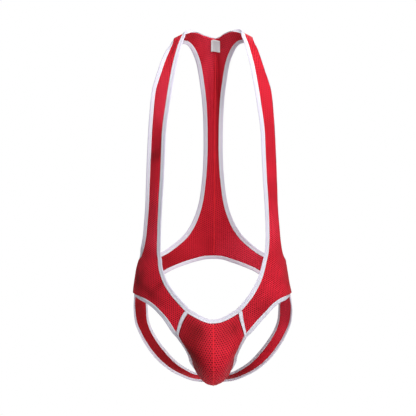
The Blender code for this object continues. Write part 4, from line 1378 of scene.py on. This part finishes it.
def bind(name, node, stations, closed):
    """Fold a tape round an edge: a thin strip in a U, its two legs sewn through the cloth."""
    values = np.array([list(s.start) + list(s.across) + list(s.out) + [s.width]
                       for s in stations])
    fine = spline(values, TAPE_FINER, closed)
    start, across, out, width = fine[:, :3], unit(fine[:, 3:6]), fine[:, 6:9], fine[:, 9]
    out = unit(out - across * (out * across).sum(axis=1, keepdims=True))
    along = run_lengths(start)
    outer = TAPE_PROFILE
    inner = [(min(a, TAPE_WIDTH - TAPE_FOLD_WALL),
              max(o - STRIP_WALL, 0.0) if a < TAPE_WIDTH - TAPE_FOLD_REACH else 0.0)
             for a, o in TAPE_PROFILE[:-2]] + [(TAPE_WIDTH - STRIP_WALL, 0.0)]
    section = outer + [(a, -o) for a, o in outer[-2::-1]]
    section += [(a, -o) for a, o in inner[:-1]] + inner[::-1]
    marks = [a for a, _ in outer] + [-a for a, _ in outer[-2::-1]]
    marks += [-a for a, _ in inner[:-1]] + [a for a, _ in inner[::-1]]
    verts, cut = [], []
    for k in range(len(start)):
        stretch = width[k] / TAPE_WIDTH
        for (a, o), mark in zip(section, marks):
            far = a if a < 0 else a * stretch
            verts.append((start[k] + across[k] * far + out[k] * o) * MM)
            cut.append((mark, along[k], 0.0))
    faces = tube_faces(len(start), len(section), closed)
    piece = plain_object(name, verts, faces, white_tape, cut=np.array(cut))
    point_outwards(piece)
    surfaces = [start + across * STITCH_MIDDLE + out * sign * (TAPE_FACE + THREAD_RADIUS / 2)
                for sign in (1, -1)]
    stitches = sew(name + "_stitches", [(surface, across, closed) for surface in surfaces])
    state(piece, node)


neck_runs, lower_runs = [], []
for side in (1, -1):
    pouch_top = top_stations(pouches[side])
    strap_edge = edge_stations(fronts[side], *FRONT_NECK_ROWS, 0)
    back_neck = rolled(edge_stations(backs[side], *BACK_NECK_ROWS, 0), NECK_ROLL)
    half = [pouch_top, strap_edge[::-1], back_neck]
    neck_runs += half if side == 1 else [run[::-1] for run in half[::-1]]
    cup = rolled(edge_stations(pouches[side], *POUCH_LEG_ROWS, -1), POUCH_LEG_ROLL)
    leg = rolled(edge_stations(fronts[side], *FRONT_LEG_ROWS, -1), LEG_LINE_ROLL)
    arch = rolled(edge_stations(backs[side], *BACK_ARCH_ROWS, 0), ARCH_ROLL)
    half = [cup[::-1], leg[::-1], arch[::-1]]
    lower_runs += half if side == 1 else [run[::-1] for run in half[::-1]]
bind("neckline_tape", "neckline_binding", joined(*neck_runs, closed=True), True)
bind("lower_tape", "lower_binding", joined(*lower_runs, closed=False), False)
for hand, side in SIDES.items():
    down = rolled(edge_stations(fronts[side], *FRONT_ARMHOLE_ROWS, -1), ARMHOLE_ROLL[side])
    up = rolled(edge_stations(backs[side], *BACK_ARMHOLE_ROWS, -1), RACER_ROLL)
    bind(f"armhole_tape_{hand}", f"armhole_binding_{hand}", joined(down, up[::-1], closed=True),
         True)
    whole = (0, len(LEG_STRAP) - 1)
    leg_edge = [s for s in rolled(edge_stations(straps[side], *whole, 0), STRAP_LEG_ROLL)
                if abs(s.start.x) > LEG_TAPE_END_X]
    bind(f"strap_leg_tape_{hand}", f"strap_leg_binding_{hand}", joined(leg_edge, closed=False),
         False)
    seat_edge = rolled(edge_stations(straps[side], *whole, -1), STRAP_SEAT_ROLL)
    bind(f"strap_seat_tape_{hand}", f"strap_seat_binding_{hand}", joined(seat_edge, closed=False),
         False)
    top, top_outs = (np.array([tuple(p) for p in rows[0]]) for rows in straps[side])
    up = unit(top - np.array([tuple(p) for p in straps[side].points[1]]))
    bars = [(spline(top + up * TOP_BAR_UP + top_outs * sign * TOP_BAR_OUT, FINER),
             spline(up, FINER), False) for sign in (1, -1)]
    sew(f"strap_top_stitches_{hand}", bars, length=TOP_BAR_STITCH, width=TOP_BAR_WIDTH)

# ---------------------------------------------------------------------------------------------
# Pouch seam tapes: a flat length of the same pale tape laid over each seam between the pouch and a
# front panel, from the neckline to the leg line, and sewn down along both of its edges.
COVER_WIDTH = 8.0
COVER_WALL = 0.8
COVER_LIFT = MESH_WALL / 2 + 0.6 + 0.5
COVER_STITCH_COLUMNS = (2, -3)
COVER_STITCH_LIFT = 0.05
COVER_ABOVE = 2.0
COVER_CROWN = 1.5


def cover_grid(front, pouch):
    """The tape over a pouch seam: rows down the seam, moved out of both panels."""
    first, last = FRONT_SEAM_ROWS[0] * STEPS_PER_ROW, FRONT_SEAM_ROWS[1] * STEPS_PER_ROW
    grid = []
    for k in range(first, last + 1):
        front_row, pouch_row = front.points[k], pouch.points[k - first]
        front_out, pouch_out = front.outs[k][0], pouch.outs[k - first][-1]
        seam = (front_row[0] + pouch_row[-1]) / 2
        front_way = (front_row[1] - front_row[0]).normalized() * COVER_WIDTH / 2
        pouch_way = (pouch_row[-2] - pouch_row[-1]).normalized() * COVER_WIDTH / 2
        grid.append([
            seam + front_way + front_out * COVER_LIFT,
            seam + (front_out + pouch_out).normalized() * COVER_LIFT * COVER_CROWN,
            seam + pouch_way + pouch_out * COVER_LIFT,
        ])
    above = [a + (a - b).normalized() * COVER_ABOVE for a, b in zip(*grid[:2])]
    return [above] + grid


for hand, side in SIDES.items():
    grid = fine_grid(cover_grid(fronts[side], pouches[side]))
    outs = grid_outs(grid, fronts[side].outs[FRONT_SEAM_ROWS[0] * STEPS_PER_ROW][0])
    cut = grid_cut(grid, start=-COVER_WIDTH / 2)
    piece = cloth_shell(f"pouch_seam_cover_{hand}", grid, outs, cut, COVER_WALL, white_tape)
    state(piece, f"pouch_seam_tape_{hand}")
    face = grid + outs * (COVER_WALL / 2 + COVER_STITCH_LIFT)
    middle = grid.shape[1] // 2
    sideways = unit(grid[1:-1, middle + 1] - grid[1:-1, middle - 1])
    stitches = sew(f"pouch_seam_stitches_{hand}", [
        (face[1:-1, column], sideways, False) for column in COVER_STITCH_COLUMNS])

# ---------------------------------------------------------------------------------------------
# Neck label: a small blank white satin tab, sewn into the back neckline and hanging inside.
LABEL_WIDTH = 19.0
LABEL_WALL = 0.4
LABEL_LIFT = MESH_WALL / 2 + TAPE_THICK / 2 + SEAM_GAP
LABEL_DROPS = (65.5, 71.5, 77.5, 83.0, 88.5)
LABEL_CELLS = 4
LABEL_BACKWARDS = (0.0, 1.0, 0.3)
LABEL_STITCH_ROW = 3
LABEL_STITCH_LENGTH = 1.4
LABEL_STITCH_WIDTH = 1.2
LABEL_WHITE = (0.96, 0.96, 0.99, 1.0)
LABEL_SOFT = (0.88, 0.88, 0.93, 1.0)
LABEL_THREAD = (0.60, 0.60, 0.66, 1.0)
LABEL_THREAD_STEP = 0.5


def label_grid():
    """The neck label, hanging inside the back panels from the neckline."""
    grid = []
    for drop in LABEL_DROPS:
        row = []
        for cell in range(LABEL_CELLS + 1):
            x = CENTRE_SEAM_X + LABEL_WIDTH * (cell / LABEL_CELLS - 0.5)
            side = 1 if x >= 0 else -1
            turn = 180 - turn_at(abs(x), drop)
            row.append(figure_point(side, turn, drop) - figure_out(side, turn, drop) * LABEL_LIFT)
        grid.append(row)
    return grid


def label_look():
    """Woven satin: bright, with fine threads across it."""
    look = Look("label_satin", roughness=0.38, sheen=0.1, specular=0.45)
    _, down, _ = look.place()
    threads = down.waves(LABEL_THREAD_STEP)
    pale = look.mix(look.noise(120.0) * 0.4, LABEL_WHITE, LABEL_SOFT)
    look.colour(look.mix(threads * 0.05, pale, LABEL_THREAD))
    look.bump(threads, distance=0.0001, strength=0.4)
    return look.material


grid = fine_grid(label_grid())
outs = grid_outs(grid, LABEL_BACKWARDS)
cut = grid_cut(grid)
label = cloth_shell("neck_label_tab", grid, outs, cut, LABEL_WALL, label_look())
state(label, "neck_label")
sewn_row = grid[LABEL_STITCH_ROW]
face = sewn_row - outs[LABEL_STITCH_ROW] * (LABEL_WALL / 2 + THREAD_RADIUS)
fall = unit(grid[LABEL_STITCH_ROW + 1] - sewn_row)
sew("neck_label_stitches", [(face, fall, False)], length=LABEL_STITCH_LENGTH,
    width=LABEL_STITCH_WIDTH)
